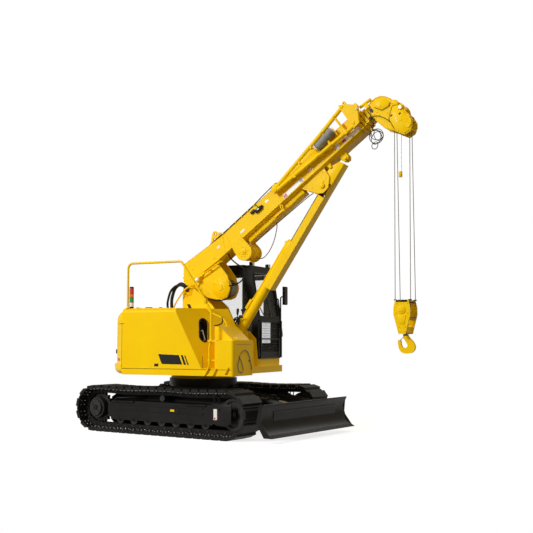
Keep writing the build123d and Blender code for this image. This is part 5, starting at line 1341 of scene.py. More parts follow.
    def cushion(self, name: str, x: Point, y: Point, z: Point, lean: float, crown: float) -> bpy.types.Object:
        """Makes a crowned cushion with pinched edges and sewn channels.

        Args:
            name: the piece's name.
            x: its low and high x.
            y: its low and high y.
            z: its low and high z.
            lean: how far its top stands behind its foot.
            crown: how far its large face bulges.

        Returns:
            The finished cushion.
        """
        pad = Shape()
        size = [(b - a) / 2 for a, b in (x, y, z)]
        middle = [(a + b) / 2 for a, b in (x, y, z)]
        bmesh.ops.create_cube(pad.bm, size=2.0)
        bmesh.ops.subdivide_edges(pad.bm, edges=list(pad.bm.edges), cuts=11, use_grid_fill=True)
        thin = size.index(min(size))
        wide = [axis for axis in range(3) if axis != thin]
        for vert in pad.bm.verts:
            at = list(vert.co)
            a, b = at[wide[0]], at[wide[1]]
            bulge = 1 + crown * (1 - a ** 4) * (1 - b ** 4)
            seam = 0.06 * max(0.0, 1 - abs(abs(b) - 0.55) / 0.09)
            pinch = 1 - 0.05 * at[thin] ** 2
            at[wide[0]], at[wide[1]] = a * pinch, b * pinch
            at[thin] *= bulge - seam - 0.3 * (a ** 8 + b ** 8) / 2
            vert.co = [m + s * c for m, s, c in zip(middle, size, at)]
            vert.co.x -= lean * (vert.co.z - z[0]) / (z[1] - z[0])
        for _ in range(3):
            bmesh.ops.smooth_vert(pad.bm, verts=list(pad.bm.verts), factor=0.5, use_axis_x=True, use_axis_y=True,
                                  use_axis_z=True)
        piece = pad.finish(name, "upper", Coat.CLOTH, 80)
        return piece

    def seat(self) -> None:
        """Makes the seat, which replaces the plain one."""
        x, y = self.seat_x, (self.right + self.left) / 2
        base = self.floor + 330
        pan = self.cushion("seat_pan", (x - 205, x + 265), (y - 235, y + 235), (base + 14, base + 128), 0, 0.14)
        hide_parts("cab_fittings")
        self.cushion("seat_back", (x - 218, x - 118), (y - 215, y + 215), (base + 130, base + 640), 70, 0.16)
        self.cushion("seat_headrest", (x - 290, x - 215), (y - 130, y + 130), (base + 655, base + 745), 12, 0.14)
        frame_work = Shape()
        frame_work.box((x - 220, x + 255), (y - 215, y + 215), (base - 12, base + 16), 8)
        for z in spread(7, self.floor + 40, base - 30):
            frame_work.box((x - 135, x + 175), (y - 160, y + 160), (z - 14, z + 14), 12)
        frame_work.box((x - 150, x + 190), (y - 170, y + 170), (self.floor, self.floor + 30), 6)
        for side in SIDES:
            frame_work.box((x - 120, x + 250), (y + side * 250, y + side * 330), (base + 190, base + 250), 16)
            frame_work.box((x - 60, x + 200), (y + side * 240, y + side * 320), (self.floor + 40, base + 150), 20)
            frame_work.rod((x - 260, y + side * 70, base + 600), (x - 268, y + side * 70, base + 690), 7, sides=12)
        frame_work.finish("seat_frame", "upper", Coat.PLASTIC)

    def controls(self) -> None:
        """Makes the levers, pedals, screen, fan and column."""
        part = Shape()
        part.box((480, 640), (self.right + 120, self.right + 380), (self.floor, self.floor + 540), 14)
        part.plate([(430, self.floor + 540), (700, self.floor + 540), (700, self.floor + 640),
                    (470, self.floor + 720)], self.right + 100, self.right + 420, 12)
        x, y = self.seat_x, (self.right + self.left) / 2
        for side in SIDES:
            knob = Vector((x + 215, y + side * 290, self.floor + 760))
            part.rod(knob - Vector((0, 0, 180)), knob, 9, sides=14)
            part.turned([(-20, 0), (-20, 16), (20, 22), (70, 26), (92, 18), (98, 0)], knob, (0.1, 0, 1), 24)
            part.turned([(-60, 34), (-48, 26), (-40, 33), (-28, 24), (-20, 30), (-8, 20), (0, 12)],
                        knob - Vector((0, 0, 100)), UP, 20)
            part.plate([(560, self.floor + 20), (700, self.floor + 60), (706, self.floor + 74),
                        (566, self.floor + 36)], y + side * 70 - 45, y + side * 70 + 45, 3)
        for index, y0 in enumerate((self.right + 160, self.right + 220, self.right + 280, self.right + 340)):
            part.rod((520, y0, self.floor + 660), (500 - index * 4, y0, self.floor + 790), 6, sides=10)
            part.turned([(0, 0), (2, 14), (20, 19), (34, 12), (38, 0)], (500 - index * 4, y0, self.floor + 786), UP,
                        18)
        part.finish("controls", "upper", Coat.PLASTIC)
        screen = Shape().box((700, 722), (640, 790), (2120, 2400), 8)
        screen.pipe([(712, 720, 2110), (742, 760, 2020), (742, 830, 1960)], 9, 30)
        screen.finish("load_display", "upper", Coat.FRAME)
        fan, hub, blades = Shape(), Vector((690, 560, 2230)), 5
        cage = [(-14, 62), (-10, 68), (10, 68), (14, 62), (10, 58), (-10, 58), (-14, 62)]
        for profile, steps in ((cage, 28), ([(-12, 0), (-8, 20), (12, 16), (16, 0)], 20)):
            fan.turned(profile, hub, (1, -0.4, 0), steps)
        for index in range(blades):
            turn = 2 * pi * index / blades
            fan.rod(hub, hub + Vector((0, 54 * cos(turn), 54 * sin(turn))), 9, 15, sides=4)
        fan.pipe([(700, 560, 2165), (715, 560, 2100), (752, 590, 1960)], 7, 30)
        fan.finish("fan", "upper", Coat.STEEL)


# ---- boom ----
@dataclass
class Boom:
    """Labels, welds, lines, collars' bolts and small brackets along the boom."""

    half: float = 180.0
    top: float = 381.0
    low: float = 91.0
    keel: float = 61.0
    front: float = 4059.0
    rise: float = 10.0
    step: float = 17.0
    pitch: float = 62.0
    collar: float = 48.0
    collar_count: int = 4

    def build(self) -> None:
        """Makes the pieces, from the foot to the collars."""
        self.foot()
        self.sides()
        self.lines()
        self.underside()
        self.tray()
        self.collars()
        self.spool()
        self.reel()

    def foot(self) -> None:
        """Makes the foot's rail, seam, bolts and lug bushes."""
        y = -self.half
        rail = Shape().pipe([(180, y - 2, 80), (200, y - 38, 88), (770, y - 38, 30), (795, y - 2, 22)], 13, 30, 16)
        for s, n in ((300, 78), (520, 56), (700, 37)):
            rail.box((s - 14, s + 14), (y - 30, y + 2), (n - 14, n + 14), 3)
        rail.finish("foot_rail", "boom", Coat.YELLOW)
        pale = Shape().box((205, 275), (y - 66, y - 30), (40, 98), 6)
        pale.box((214, 266), (y - 74, y - 64), (50, 88), 3)
        pale.finish("foot_sensor", "boom", Coat.LABEL)
        weld = Shape()
        weld.pipe([(1100, y - 1, self.top - 4), (1100, y - 1, self.low + 3)], 5)
        weld.pipe([(1055, y - 0.5, self.top + 3), (926, y - 0.5, self.low + 3)], 4)
        weld.pipe([(167, y - 0.5, 462), (753, y - 0.5, self.top + 24), (1100, y - 0.5, self.top - 2)], 4)
        weld.pipe([(-4, y - 0.5, 238), (192, y - 0.5, 136), (701, y - 0.5, self.low + 3),
                   (1100, y - 0.5, self.low + 2)], 4)
        weld.mirrored().finish("foot_welds", "boom", Coat.YELLOW)
        bolts = Shape().bolts([(s, y, n) for s, n in ((250, 380), (250, 300), (700, 350), (700, 160), (1020, 160),
                                                      (1040, 340))], RIGHT, 11, 8)
        bolts.bolts(round_y((0, y - 53, 0), 66, 8), RIGHT, 8, 6)
        bolts.mirrored().finish("foot_bolts", "boom", Coat.YELLOW)
        bush = Shape()
        for side in SIDES:
            for s, n, hole in ((935, 520, 21), (868, 452, 24)):
                for low, high in ((74, 80.2), (104.8, 111)):
                    bush.turned([(0, hole + 0.5), (0, hole + 11), (high - low, hole + 11), (high - low, hole + 0.5),
                                 (0, hole + 0.5)], (s, side * low, n), (0, side, 0), 28)
        bush.finish("lug_bushes", "boom", Coat.YELLOW)

    def tag(self, name: str, corners: Row, coat: Coat, lift: float = 0.0) -> None:
        """Makes one thin plate on the boom's right side.

        Args:
            name: the piece's name.
            corners: its corners (s, n).
            coat: its finish.
            lift: how far it stands off the side.
        """
        y = -self.half - lift
        Shape().plate(corners, y - 1.6, y - 0.3).finish(name, "boom", coat)

    def sides(self) -> None:
        """Makes the blank labels and the sensor on the right side."""
        self.tag("boom_tag_rear", [(2309, 98), (2776, 112), (2770, 184), (2321, 171)], Coat.LABEL)
        self.tag("boom_tag_rear_mark", [(2318, 104), (2392, 106), (2392, 160), (2322, 160)], Coat.RED, 1.6)
        self.tag("boom_tag_front", [(3634, 108), (4038, 108), (4038, 182), (3640, 186)], Coat.LABEL)
        self.tag("boom_tag_front_mark", [(3642, 114), (3712, 114), (3712, 172), (3646, 172)], Coat.RED, 1.6)
        for index, (s, n, wide) in enumerate(((1397, 185, 46), (878, 269, 30), (2046, 289, 34), (2948, 176, 30))):
            self.tag(f"boom_small_tag_{index + 1}", [(s - wide, n - 18), (s + wide, n - 18), (s + wide, n + 18),
                                                     (s - wide, n + 18)], Coat.LABEL)
        y = -self.half
        box = Shape().box((1780, 1925), (y - 42, y - 0.2), (238, 300), 6)
        box.box((1700, 1790), (y - 30, y - 0.2), (286, 336), 6)
        box.box((1792, 1912), (y - 47, y - 40), (248, 290), 2)
        for n in (262, 286):
            box.rod((1925, y - 18, n), (1950, y - 18, n), 9, sides=16, bevel=2)
        box.finish("boom_sensor", "boom", Coat.PLASTIC)
        self.tag("boom_sensor_tag", [(1836, 262), (1872, 262), (1872, 284), (1836, 284)], Coat.LABEL, 47)

    def lines(self) -> None:
        """Makes the cable along the top edge, the rod under the boom and their clips."""
        y = -self.half - 8
        cable = Shape()
        cable.pipe([(760, -150, 415), (900, y + 2, 402), (1059, y, 391), (1846, y, 391), (2020, y - 4, 402),
                    (2300, y, 416), (2342, y + 20, 426), (2383, y + 40, 400)], 9, 60)
        cable.pipe([(1846, y, 391), (1862, y, 330), (1862, y, 300)], 6, 30)
        for lane, radius in ((-60, 6), (-40, 8)):
            cable.pipe([(1100, lane, 390), (3900, lane, 390), (4000, lane + 10, 392)], radius, 40)
        cable.finish("boom_cables", "boom", Coat.RUBBER)
        clip = Shape()
        for s in spread(6, 1090.0, 1830.0):
            clip.box((s - 13, s + 13), (y - 12, y + 13), (379, 402), 3)
        for s in spread(9, 1200.0, 3840.0):
            clip.box((s - 12, s + 12), (-78, -24), (380, 401), 3)
        clip.finish("cable_clips", "boom", Coat.YELLOW)
        edge = Shape()
        for side in SIDES:
            for y, n in ((self.half, self.low), (self.half, self.top), (self.half - 70, self.keel)):
                edge.pipe([(1105, side * y, n), (self.front - 50, side * y, n)], 4, sides=8)
        edge.finish("boom_edge_welds", "boom", Coat.YELLOW)

    def tray(self) -> None:
        """Makes the hose tray under the foot section, with its pocket rims."""
        low = -18.0
        tray = Shape()
        tray.box((1362, 2628), (-98, 98), (low - 5, low), 1.5)
        for y in (-98.0, 92.0):
            tray.patch((1362, 2628), (low, self.keel + 6), y, y + 6, 1.5)
        for s in (1362, 1700, 2040, 2380, 2622):
            tray.box((s, s + 8), (-94, 94), (low, self.keel + 4), 1)
        for start, end in ((1500, 1650), (1830, 1960), (2080, 2280), (2420, 2590)):
            for n in (low + 8, self.keel - 10):
                tray.pipe([(start, -100, n), (end, -100, n)], 4, sides=8)
            for s in (start, end):
                tray.pipe([(s, -100, low + 8), (s, -100, self.keel - 10)], 4, sides=8)
        tray.box((1980, 2140), (-124, -96), (-14, 4), 3)
        tray.finish("hose_tray", "boom", Coat.YELLOW)

    def underside(self) -> None:
        """Makes the lugs and brackets under the boom, and the winch's guard loop."""
        y = -self.half
        part = Shape()
        part.turned([(-9, 17), (-9, 31), (9, 31), (9, 17), (-9, 17)], (2193, y + 12, 34), LEFT, 24)
        part.box((2176, 2210), (y + 3, y + 21), (58, 96), 3)
        part.plate([(3190, 66), (3268, 66), (3250, -24), (3208, -24)], -120, -104, 3)
        part.rod((3229, -128, -8), (3229, -96, -8), 14, sides=20, bevel=2)
        ear = [(3440, 66), (3560, 66), (3566, -40), (3530, -86), (3470, -80), (3432, -40)]
        for start in (-70, 52):
            part.plate(ear, start, start + 18, 4)
        part.rod((3500, -96, -46), (3500, 96, -46), 22, sides=24, bevel=3)
        part.finish("boom_lugs", "boom", Coat.YELLOW)
        loop = Shape().pipe([(955, -178, 60), (955, -214, -60), (1000, -226, -225), (1067, -226, -349),
                             (986, -226, -470), (860, -226, -492), (700, -200, -430), (640, -160, -380)], 12, 60, 14)
        loop.finish("winch_guard_loop", "boom", Coat.BLACK)

    def collars(self) -> None:
        """Makes the bolts and wear pads of every collar."""
        for index in range(1, self.collar_count + 1):
            inset = (index - 1) * self.step - self.rise
            front = self.front + (index - 1) * self.pitch
            half, top, low = self.half - inset, self.top - inset, self.low + inset
            body = "boom" if index == 1 else f"section_{index}"
            bolts = Shape()
            s = front - self.collar / 2
            bolts.bolts([(s, half, n) for n in (low + 35, low + 75, top - 75, top - 35)], LEFT, 8, 6)
            bolts.mirrored()
            bolts.bolts([(s, y, top) for y in (-half + 40, -half + 90, half - 90, half - 40)], UP, 8, 6)
            bolts.finish(f"collar_bolts_{index}", body, Coat.YELLOW)
            pads = Shape()
            inner = index * self.step
            wide, roof, floor = self.half - inner, self.top - inner, self.low + inner
            for side in SIDES:
                for n in (floor + 30, roof - 90):
                    pads.box((front - 1, front + 5), (side * (wide + 1), side * (half - 3)), (n, n + 60), 1)
            for y in (-wide + 20, wide - 80):
                pads.box((front - 1, front + 5), (y, y + 60), (roof + 1, top - 3), 1)
            pads.finish(f"collar_pads_{index}", body, Coat.PLASTIC)

    def spool(self) -> None:
        """Makes the ribbed rope spool and the pale disc on the fly jib."""
        spool = Shape()
        ribs = [(0, 0), (0, 74), (14, 74), (18, 52)]
        for along in spread(22, 26.0, 350.0):
            ribs += [(along - 5, 52), (along - 2, 57), (along + 2, 57), (along + 5, 52)]
        ribs += [(358, 52), (362, 74), (376, 74), (376, 0)]
        ribs = [(along, radius * 1.22) for along, radius in ribs]
        spool.turned(ribs, (3275, -272, 342), (1, 0, 0.12), 36)
        spool.finish("rope_spool", "boom", Coat.GREY)
        seat = Shape()
        for s in (3262, 3668):
            seat.plate([(-300, 250), (-236, 250), (-236, 420), (-300, 420)], s - 6, s + 6, 2, across="x")
        seat.plate([(2345, 262), (3240, 222), (3240, 442), (2345, 326)], -272, -252, 2)
        seat.pipe([(2350, -273, 292), (3236, -273, 330)], 4, sides=8)
        for s in (2620, 2900, 3180):
            seat.pipe([(s, -273, 250), (s, -273, 330 + (s - 2345) * 0.1)], 4, sides=8)
        seat.finish("jib_web", "boom", Coat.YELLOW)
        disc = Shape().turned(cap(46, 7, 10, 40, 16, (16, 12)), (3532, -180, 152), RIGHT, 36)
        disc.finish("jib_disc", "boom", Coat.LABEL)

    def reel(self) -> None:
        """Makes the wound hose, hub and bolts of the reel under the boom."""
        s, n = 1205.0, -112.0
        hose = Shape()
        for y, wide, count, pitch, wave in (
            (-180, 128, 7, 18, ((1, 118), (4, 128), (9, 132), (14, 128), (17, 118))),
            (-36, 214, 11, 19, ((1, 117), (5, 126), (9.5, 129), (14, 126), (18, 117))),
        ):
            wraps = [(2 + index * pitch + along, radius) for index in range(count) for along, radius in wave]
            hose.turned([(0, 112), *wraps, (wide, 112)], (s, y, n), LEFT, 40)
        hose.finish("reel_hose", "boom", Coat.YELLOW)
        line = Shape().pipe([(1215, 60, 6), (1330, 60, -26), (2000, 60, -38), (2620, 60, -56), (2700, 60, -70)], 8,
                            60)
        line.finish("reel_line", "boom", Coat.GREY)
        loop = Shape().pipe([(1905, 60, -16), (1850, 60, -90), (1690, 60, -225), (1500, 60, -320), (1330, 60, -340),
                             (1240, 60, -250)], 8, 120)
        loop.finish("reel_hose_end", "boom", Coat.ROPE)
        hub = Shape()
        for side in SIDES:
            hub.turned(cap(52, 10, 14, 44, 22, (24, 18)), (s, side * 195, n), (0, side, 0), 32)
            hub.bolts(round_y((s, side * 195, n), 84, 8, 22), (0, side, 0), 9, 7)
            hub.bolts([(s + d, side * 195, 60) for d in (-90, 0, 90)], (0, side, 0), 9, 7)
        hub.finish("reel_hubs", "boom", Coat.YELLOW)


@dataclass
class Winch:
    """Gearbox cover, motor, wound rope and bolts of the winch."""

    s: float = 492.0
    n: float = -312.0
    inner: float = 140.0
    plate: float = 15.0
    rope: float = 160.0
    reach: float = 120.0
    pitch: float = 12.6

    def build(self) -> None:
        """Makes the pieces, from the right side to the left."""
        outer = self.inner + self.plate
        cover = Shape()
        cover.turned([(0, 0), (0, 172), (8, 172), (12, 166), (12, 120), (24, 104), (24, 52), (36, 44), (40, 0)],
                     (self.s, -outer, self.n), RIGHT, 56)
        cover.finish("winch_cover", "boom", Coat.YELLOW)
        bolts = Shape().bolts(round_y((self.s, -outer - 12, self.n), 148, 10, 10), RIGHT, 9, 7)
        bolts.bolts([(s, -outer, n) for s, n in ((230, 40), (470, 70), (670, 40), (670, -150), (240, -220),
                                                 (150, -90))], RIGHT, 11, 8)
        bolts.finish("winch_bolts", "boom", Coat.YELLOW)
        motor = Shape()
        motor.turned([(0, 0), (0, 122), (14, 122), (18, 96), (52, 96), (56, 82), (70, 78), (70, 0)],
                     (self.s, outer, self.n), LEFT, 40)
        for turn in (20, 70, 120):
            at = Vector((self.s + 58 * cos(radians(turn)), outer + 44, self.n + 58 * sin(radians(turn))))
            end = at + Vector((52 * cos(radians(turn)), 0, 52 * sin(radians(turn))))
            motor.rod(at, end, 15, sides=6, bevel=2)
        motor.finish("winch_motor", "boom", Coat.CAST)
        hose = Shape()
        for turn, lift in ((20, 0), (70, 22)):
            tip = Vector((self.s + 106 * cos(radians(turn)), outer + 44, self.n + 106 * sin(radians(turn))))
            hose.pipe([tip, tip + Vector((60, 6, 40)), (520 - lift, outer + 52, 40 + lift),
                       (300, outer + 52, 70 + lift), (120, outer + 52, 60)], 13, 70)
        hose.finish("winch_hoses", "boom", Coat.RUBBER)
        wraps = Shape()
        profile: list[tuple[float, float]] = [(0.0, 119.0)]
        count, shares = int(2 * self.reach / self.pitch), (0.08, 0.28, 0.5, 0.72, 0.92)
        for index in range(count):
            at = index * self.pitch + 0.5
            profile += [(at + self.pitch * share, self.rope - 6 + 6 * sin(pi * share)) for share in shares]
        profile.append((2 * self.reach, 119.0))
        wraps.turned(profile, (self.s, -self.reach, self.n), LEFT, 64)
        coil = wraps.finish("wound_rope", "drum", Coat.ROPE)
        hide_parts("drum_rope")
        guard = Shape()
        guard.pipe([(150, -146, -280), (300, -146, -432), (400, -146, -504), (492, -146, -528), (570, -146, -492),
                    (660, -146, -420)], 9, 60)
        for y in (-100.0, 0.0, 100.0):
            guard.rod((655, y - 34, -345), (655, y + 34, -345), 17, sides=20, bevel=2)
        guard.rod((655, -142, -345), (655, 142, -345), 10)
        guard.finish("winch_guard", "boom", Coat.BLACK)


@dataclass
class LuffCylinder:
    """Gland, hard pipe, clamps, rod eye and covers of the luffing cylinder."""

    length: float
    barrel: float = 1790.0
    radius: float = 88.0
    short: float = 170.0

    def build(self) -> None:
        """Makes the pieces."""
        end = self.length - self.short + 14
        metal = Shape()
        metal.rod((self.barrel - 250, 0, 0), (self.barrel - 210, 0, 0), self.radius - 6, self.radius + 4, sides=40)
        metal.rod((self.barrel - 211, 0, 0), (self.barrel - 2, 0, 0), self.radius + 4, sides=40, bevel=5)
        metal.rod((self.barrel - 6, 0, 0), (self.barrel + 12, 0, 0), self.radius - 10, sides=40, bevel=4)
        for x in (210.0, self.barrel - 60):
            metal.box((x - 24, x + 24), (-22, 22), (76, 116), 5)
        for x in (620.0, 1080.0, 1480.0):
            metal.rod((x - 9, 0, 0), (x + 9, 0, 0), self.radius - 3, sides=40, bevel=2)
            metal.box((x - 9, x + 9), (-20, 20), (80, 112), 3)
        metal.box((420, 600), (-60, 60), (76, 124), 8)
        metal.bolts([(x, y, 124) for x in (440, 580) for y in (-42, 42)], UP, 8, 6)
        metal.finish("luff_gland", "luff_cylinder", Coat.YELLOW)
        pipe = Shape().pipe([(232, 0, 100), (420, 0, 102)], 10).pipe([(600, 0, 100), (self.barrel - 84, 0, 98)], 10)
        pipe.finish("luff_pipe", "luff_cylinder", Coat.YELLOW)
        hose = Shape()
        for route in ([(200, -10, 112), (150, -10, 190), (30, -20, 210), (-90, -30, 120), (-120, -40, 20)],
                      [(222, 12, 112), (180, 12, 214), (30, 20, 236), (-110, 30, 130), (-140, 40, 20)]):
            hose.pipe(route, 13, 60)
        hose.finish("luff_hoses", "luff_cylinder", Coat.RUBBER)
        neck = Shape()
        neck.turned([(0, 0), (0, 62), (16, 62), (22, 48), (70, 48), (110, 60), (self.short - 14, 66),
                     (self.short - 14, 0)], (end, 0, 0), AHEAD, 36)
        neck.bolts([(end, y, z) for y in (-80, 80) for z in (-100, -40)], AHEAD, 10, 8)
        neck.finish("rod_neck", "luff_piston", Coat.BLACK)
        trim = Shape()
        tip = self.length + 480
        trim.box((end, tip), (-102, 102), (-128, -123), 1)
        for side in SIDES:
            trim.plate([(self.length + 92, -124), (tip, -124), (tip, -40), (self.length + 330, 56),
                        (self.length + 92, 62)], side * 97, side * 102, 1)
        trim.box((tip - 6, tip), (-100, 100), (-124, -62), 1)
        for side in SIDES:
            for x in spread(7, 990.0, end - 60):
                trim.bolts([(x, side * 102, -60)], (0, side, 0), 7, 5)
        trim.finish("guard_rivets", "luff_piston", Coat.YELLOW)
        pins = Shape()
        for side in SIDES:
            pins.turned(cap(44, 8, 12, 38), (BRACKET_PIN.x, side * 140, BRACKET_PIN.z), (0, side, 0), 32)
            pins.box((2900, 3010), (side * 126, side * 134), (-120, -84), 3)
            pins.bolts([(s, side * 126, n) for s, n in ((2700, 20), (2780, -60), (3080, 20), (3060, -80))],
                       (0, side, 0), 10, 8)
        pins.finish("bracket_pins", "boom", Coat.YELLOW)


@dataclass
class Head:
    """Pins, keepers, bars and rope of the boom head and the fly jib's end."""

    cheek: float = 136.0

    def build(self) -> None:
        """Makes the pieces."""
        pins = Shape()
        for side in SIDES:
            face = side * self.cheek
            for s, n, radius in ((NOSE_SHEAVE.x, NOSE_SHEAVE.z, 60), (4450, 195, 52)):
                pins.turned(cap(radius, 8, 12, radius - 6, 26, (20, 22)), (s, face, n), (0, side, 0), 36)
                pins.bolts(round_y((s, face + side * 12, n), radius - 15, 6, 15), (0, side, 0), 6, 5)
            for s, n, radius, rise in ((4575, 120, 34, 9), (4560, 235, 26, 9), (4600, -372, 34, 22)):
                pins.turned([(0, 0), (0, radius), (rise, radius), (rise, 0)], (s, face, n), (0, side, 0), 28)
            pins.bolts([(s, face, n) for s, n in ((4300, 90), (4300, 150), (4360, 90), (4360, 150), (4480, 20),
                                                  (4560, 20))], (0, side, 0), 10, 8)
        pins.finish("head_pins", "section_5", Coat.YELLOW)
        # Near-black plates painted as the shade inside the holes in the head's cheeks.
        dark = Shape()
        for side in SIDES:
            dark.plate([(4276, 268), (4300, 280), (4330, 270), (4336, 212), (4312, 196), (4282, 208)],
                       side * (self.cheek + 0.3), side * (self.cheek + 1.6))
        dark.finish("head_hole_shade", "section_5", Coat.BLACK_DECAL_AND_PAINTED_SHADE)
        bar = Shape()
        for y in (-150, 150):
            bar.rod((4195, y, 404), (4418, y, 382), 26, sides=28, bevel=6)
        for side in SIDES:
            bar.box((4262, 4330), (side * 137, side * 168), (296, 372), 5)
        for s, n in ((4395, 352), (4600, -430), (4420, -330), (4684, -300)):
            bar.rod((s, -112, n), (s, 112, n), 10, sides=16)
            for side in SIDES:
                bar.rod((s, side * 134, n), (s, side * 146, n), 15, sides=6, bevel=2)
        bar.finish("head_keepers", "section_5", Coat.YELLOW)
        plates = Shape()
        outline = [(4262, 60), (4262, 318), (4376, 362), (4480, 356), (4560, 320), (4612, 262), (4650, 190),
                   (4676, 60), (4728, 12), (4750, -50), (4740, -110), (4706, -180), (4722, -236), (4706, -344),
                   (4655, -410), (4575, -462), (4466, -446), (4385, -275), (4298, -146)]
        for side in SIDES:
            face = side * self.cheek
            middle = Vector((4520, face, -40))
            ring = [Vector((s, face, n)).lerp(middle, 0.035) for s, n in outline]
            plates.loop(ring, 9, 14, 8)
            plates.plate([(4440, -80), (4600, 40), (4690, 0), (4722, -60), (4680, -180), (4698, -240), (4682, -335),
                          (4640, -390), (4570, -436), (4480, -424), (4410, -270)], face, face + side * 14, 4)
            plates.plate([(4380, 240), (4440, 318), (4520, 310), (4590, 230), (4610, 120), (4560, 92), (4440, 120)],
                         face, face + side * 14, 4)
            plates.plate([(4632, 92), (4672, 118), (4712, 84), (4722, 30), (4690, -8), (4644, 20)], face,
                         face + side * 30, 9)
            plates.plate([(4684, -256), (4704, -266), (4699, -344), (4652, -404), (4630, -390), (4672, -330)], face,
                         face + side * 30, 5)
        plates.finish("head_plates", "section_5", Coat.YELLOW)
        # Near-black lines along the plates' edges and two dark patches: painted shade of the gaps between the head's
        # plates.
        painted_gap_shade = Shape()
        for side in SIDES:
            face = side * (self.cheek + 15)
            for route in (((4404, -262), (4436, -74), (4602, 48), (4694, 8)),
                          ((4376, 236), (4438, 114), (4562, 84), (4616, 122))):
                painted_gap_shade.pipe([(s, face, n) for s, n in route], 4, 16, 8)
            for s, n in ((4500, -60), (4620, -130)):
                painted_gap_shade.patch((s - 20, s + 20), (n - 12, n + 12), face, face + side * 1.5)
        painted_gap_shade.finish("head_gap_shade_lines", "section_5", Coat.BLACK_DECAL_AND_PAINTED_SHADE)
        cover = Shape()
        cover.box((4196, 4250), (-150, -124), (110, 176), 8)
        cover.rod((4250, -137, 146), (4268, -137, 146), 10, sides=16, bevel=2)
        cover.pipe([(4266, -140, 146), (4330, -156, 100), (4400, -160, -20), (4420, -158, -120)], 5, 50)
        cover.finish("head_sensor", "section_5", Coat.PLASTIC)
        coil = Shape()
        for radius, y, ds, dn, tilt, squeeze in ((118, -150, 0, 0, 0.0, 1.0), (104, -136, -22, -14, 0.5, 0.72),
                                                 (96, -160, 24, -8, 1.4, 0.6), (112, -122, 8, 22, 2.2, 0.66),
                                                 (60, -140, -110, -96, 0.4, 0.8)):
            route = []
            for a in spread(22, 0.0, 2 * pi):
                u, v = radius * cos(a), radius * squeeze * sin(a)
                route.append((4120 + ds + u * cos(tilt) - v * sin(tilt), y + 9 * sin(2 * a),
                              -152 + dn + u * sin(tilt) + v * cos(tilt)))
            coil.pipe(route, 6, 20, 8)
        coil.pipe([(4128, -140, -40), (4150, -120, 10), (4180, -70, 40), (4186, -30, 96)], 7, 30, 8)
        coil.pipe([(4060, -140, -100), (4090, -110, -10), (4150, -60, 60), (4160, -20, 100)], 6, 30, 8)
        coil.finish("cable_coil", "section_4", Coat.RUBBER)
        hook = Shape()
        hook.pipe([(4120, -60, 84), (4120, -100, 20), (4118, -146, -20), (4118, -150, -44)], 8, 30)
        hook.finish("coil_hanger", "section_4", Coat.YELLOW)
        cotters = Shape()
        for side in SIDES:
            start = Vector((4690, side * 172, -60))
            cotters.turned([(0, 0), (0, 30), (6, 26), (6, 0)], start, (0, side, 0), 28)
            cotters.rod(start + Vector((-46, side * -14, 0)), start + Vector((46, side * -14, 0)), 4, sides=10)
        cotters.finish("jib_pin_cotters", "section_5", Coat.STEEL)
        self.jib()

    def jib(self) -> None:
        """Makes the stowed fly jib's pins, clamps and end fittings."""
        y = -262.0
        part = Shape()
        for s, n in ((2700, 250), (3800, 205)):
            for low, high in ((y - 42, y - 35), (y + 35, y + 42)):
                part.box((s - 26, s + 26), (low, high), (n - 48, n + 48), 3)
            part.bolts([(s + ds, y - 42, n + dn) for ds in (-15, 15) for dn in (-36, 36)], RIGHT, 8, 6)
            part.rod((s, y - 36, n + 54), (s, -180, n + 54), 12, sides=16, bevel=2)
        part.turned([(-22, 14), (-22, 30), (22, 30), (22, 14), (-22, 14)], (4060, y, 590), LEFT, 28)
        part.turned([(-20, 0), (-20, 24), (20, 24), (20, 0)], (4190, y, 440), LEFT, 28)
        for s, n in ((3990, 230), (4000, 570)):
            part.turned(cap(30, 8, 12, 24), (s, y - 30, n), RIGHT, 28)
        part.turned(cap(46, 8, 12, 40, 16, (18, 12)), (2300, y - 26, 300), RIGHT, 32)
        for s, n in ((2900, 348), (3200, 406), (3485, 480), (3485, 215), (3800, 540), (3200, 229)):
            part.rod((s, y - 39, n), (s, y - 33, n), 20, sides=20, bevel=2)
        part.finish("jib_fittings", "boom", Coat.YELLOW)
        pin = Shape()
        pin.rod((4165, y - 52, 350), (4165, y + 52, 350), 13, sides=20, bevel=2)
        pin.turned([(-5, 14), (-5, 22), (5, 22), (5, 14), (-5, 14)], (4165, y - 60, 350), AHEAD, 20)
        pin.finish("jib_lock_pin", "boom", Coat.STEEL)


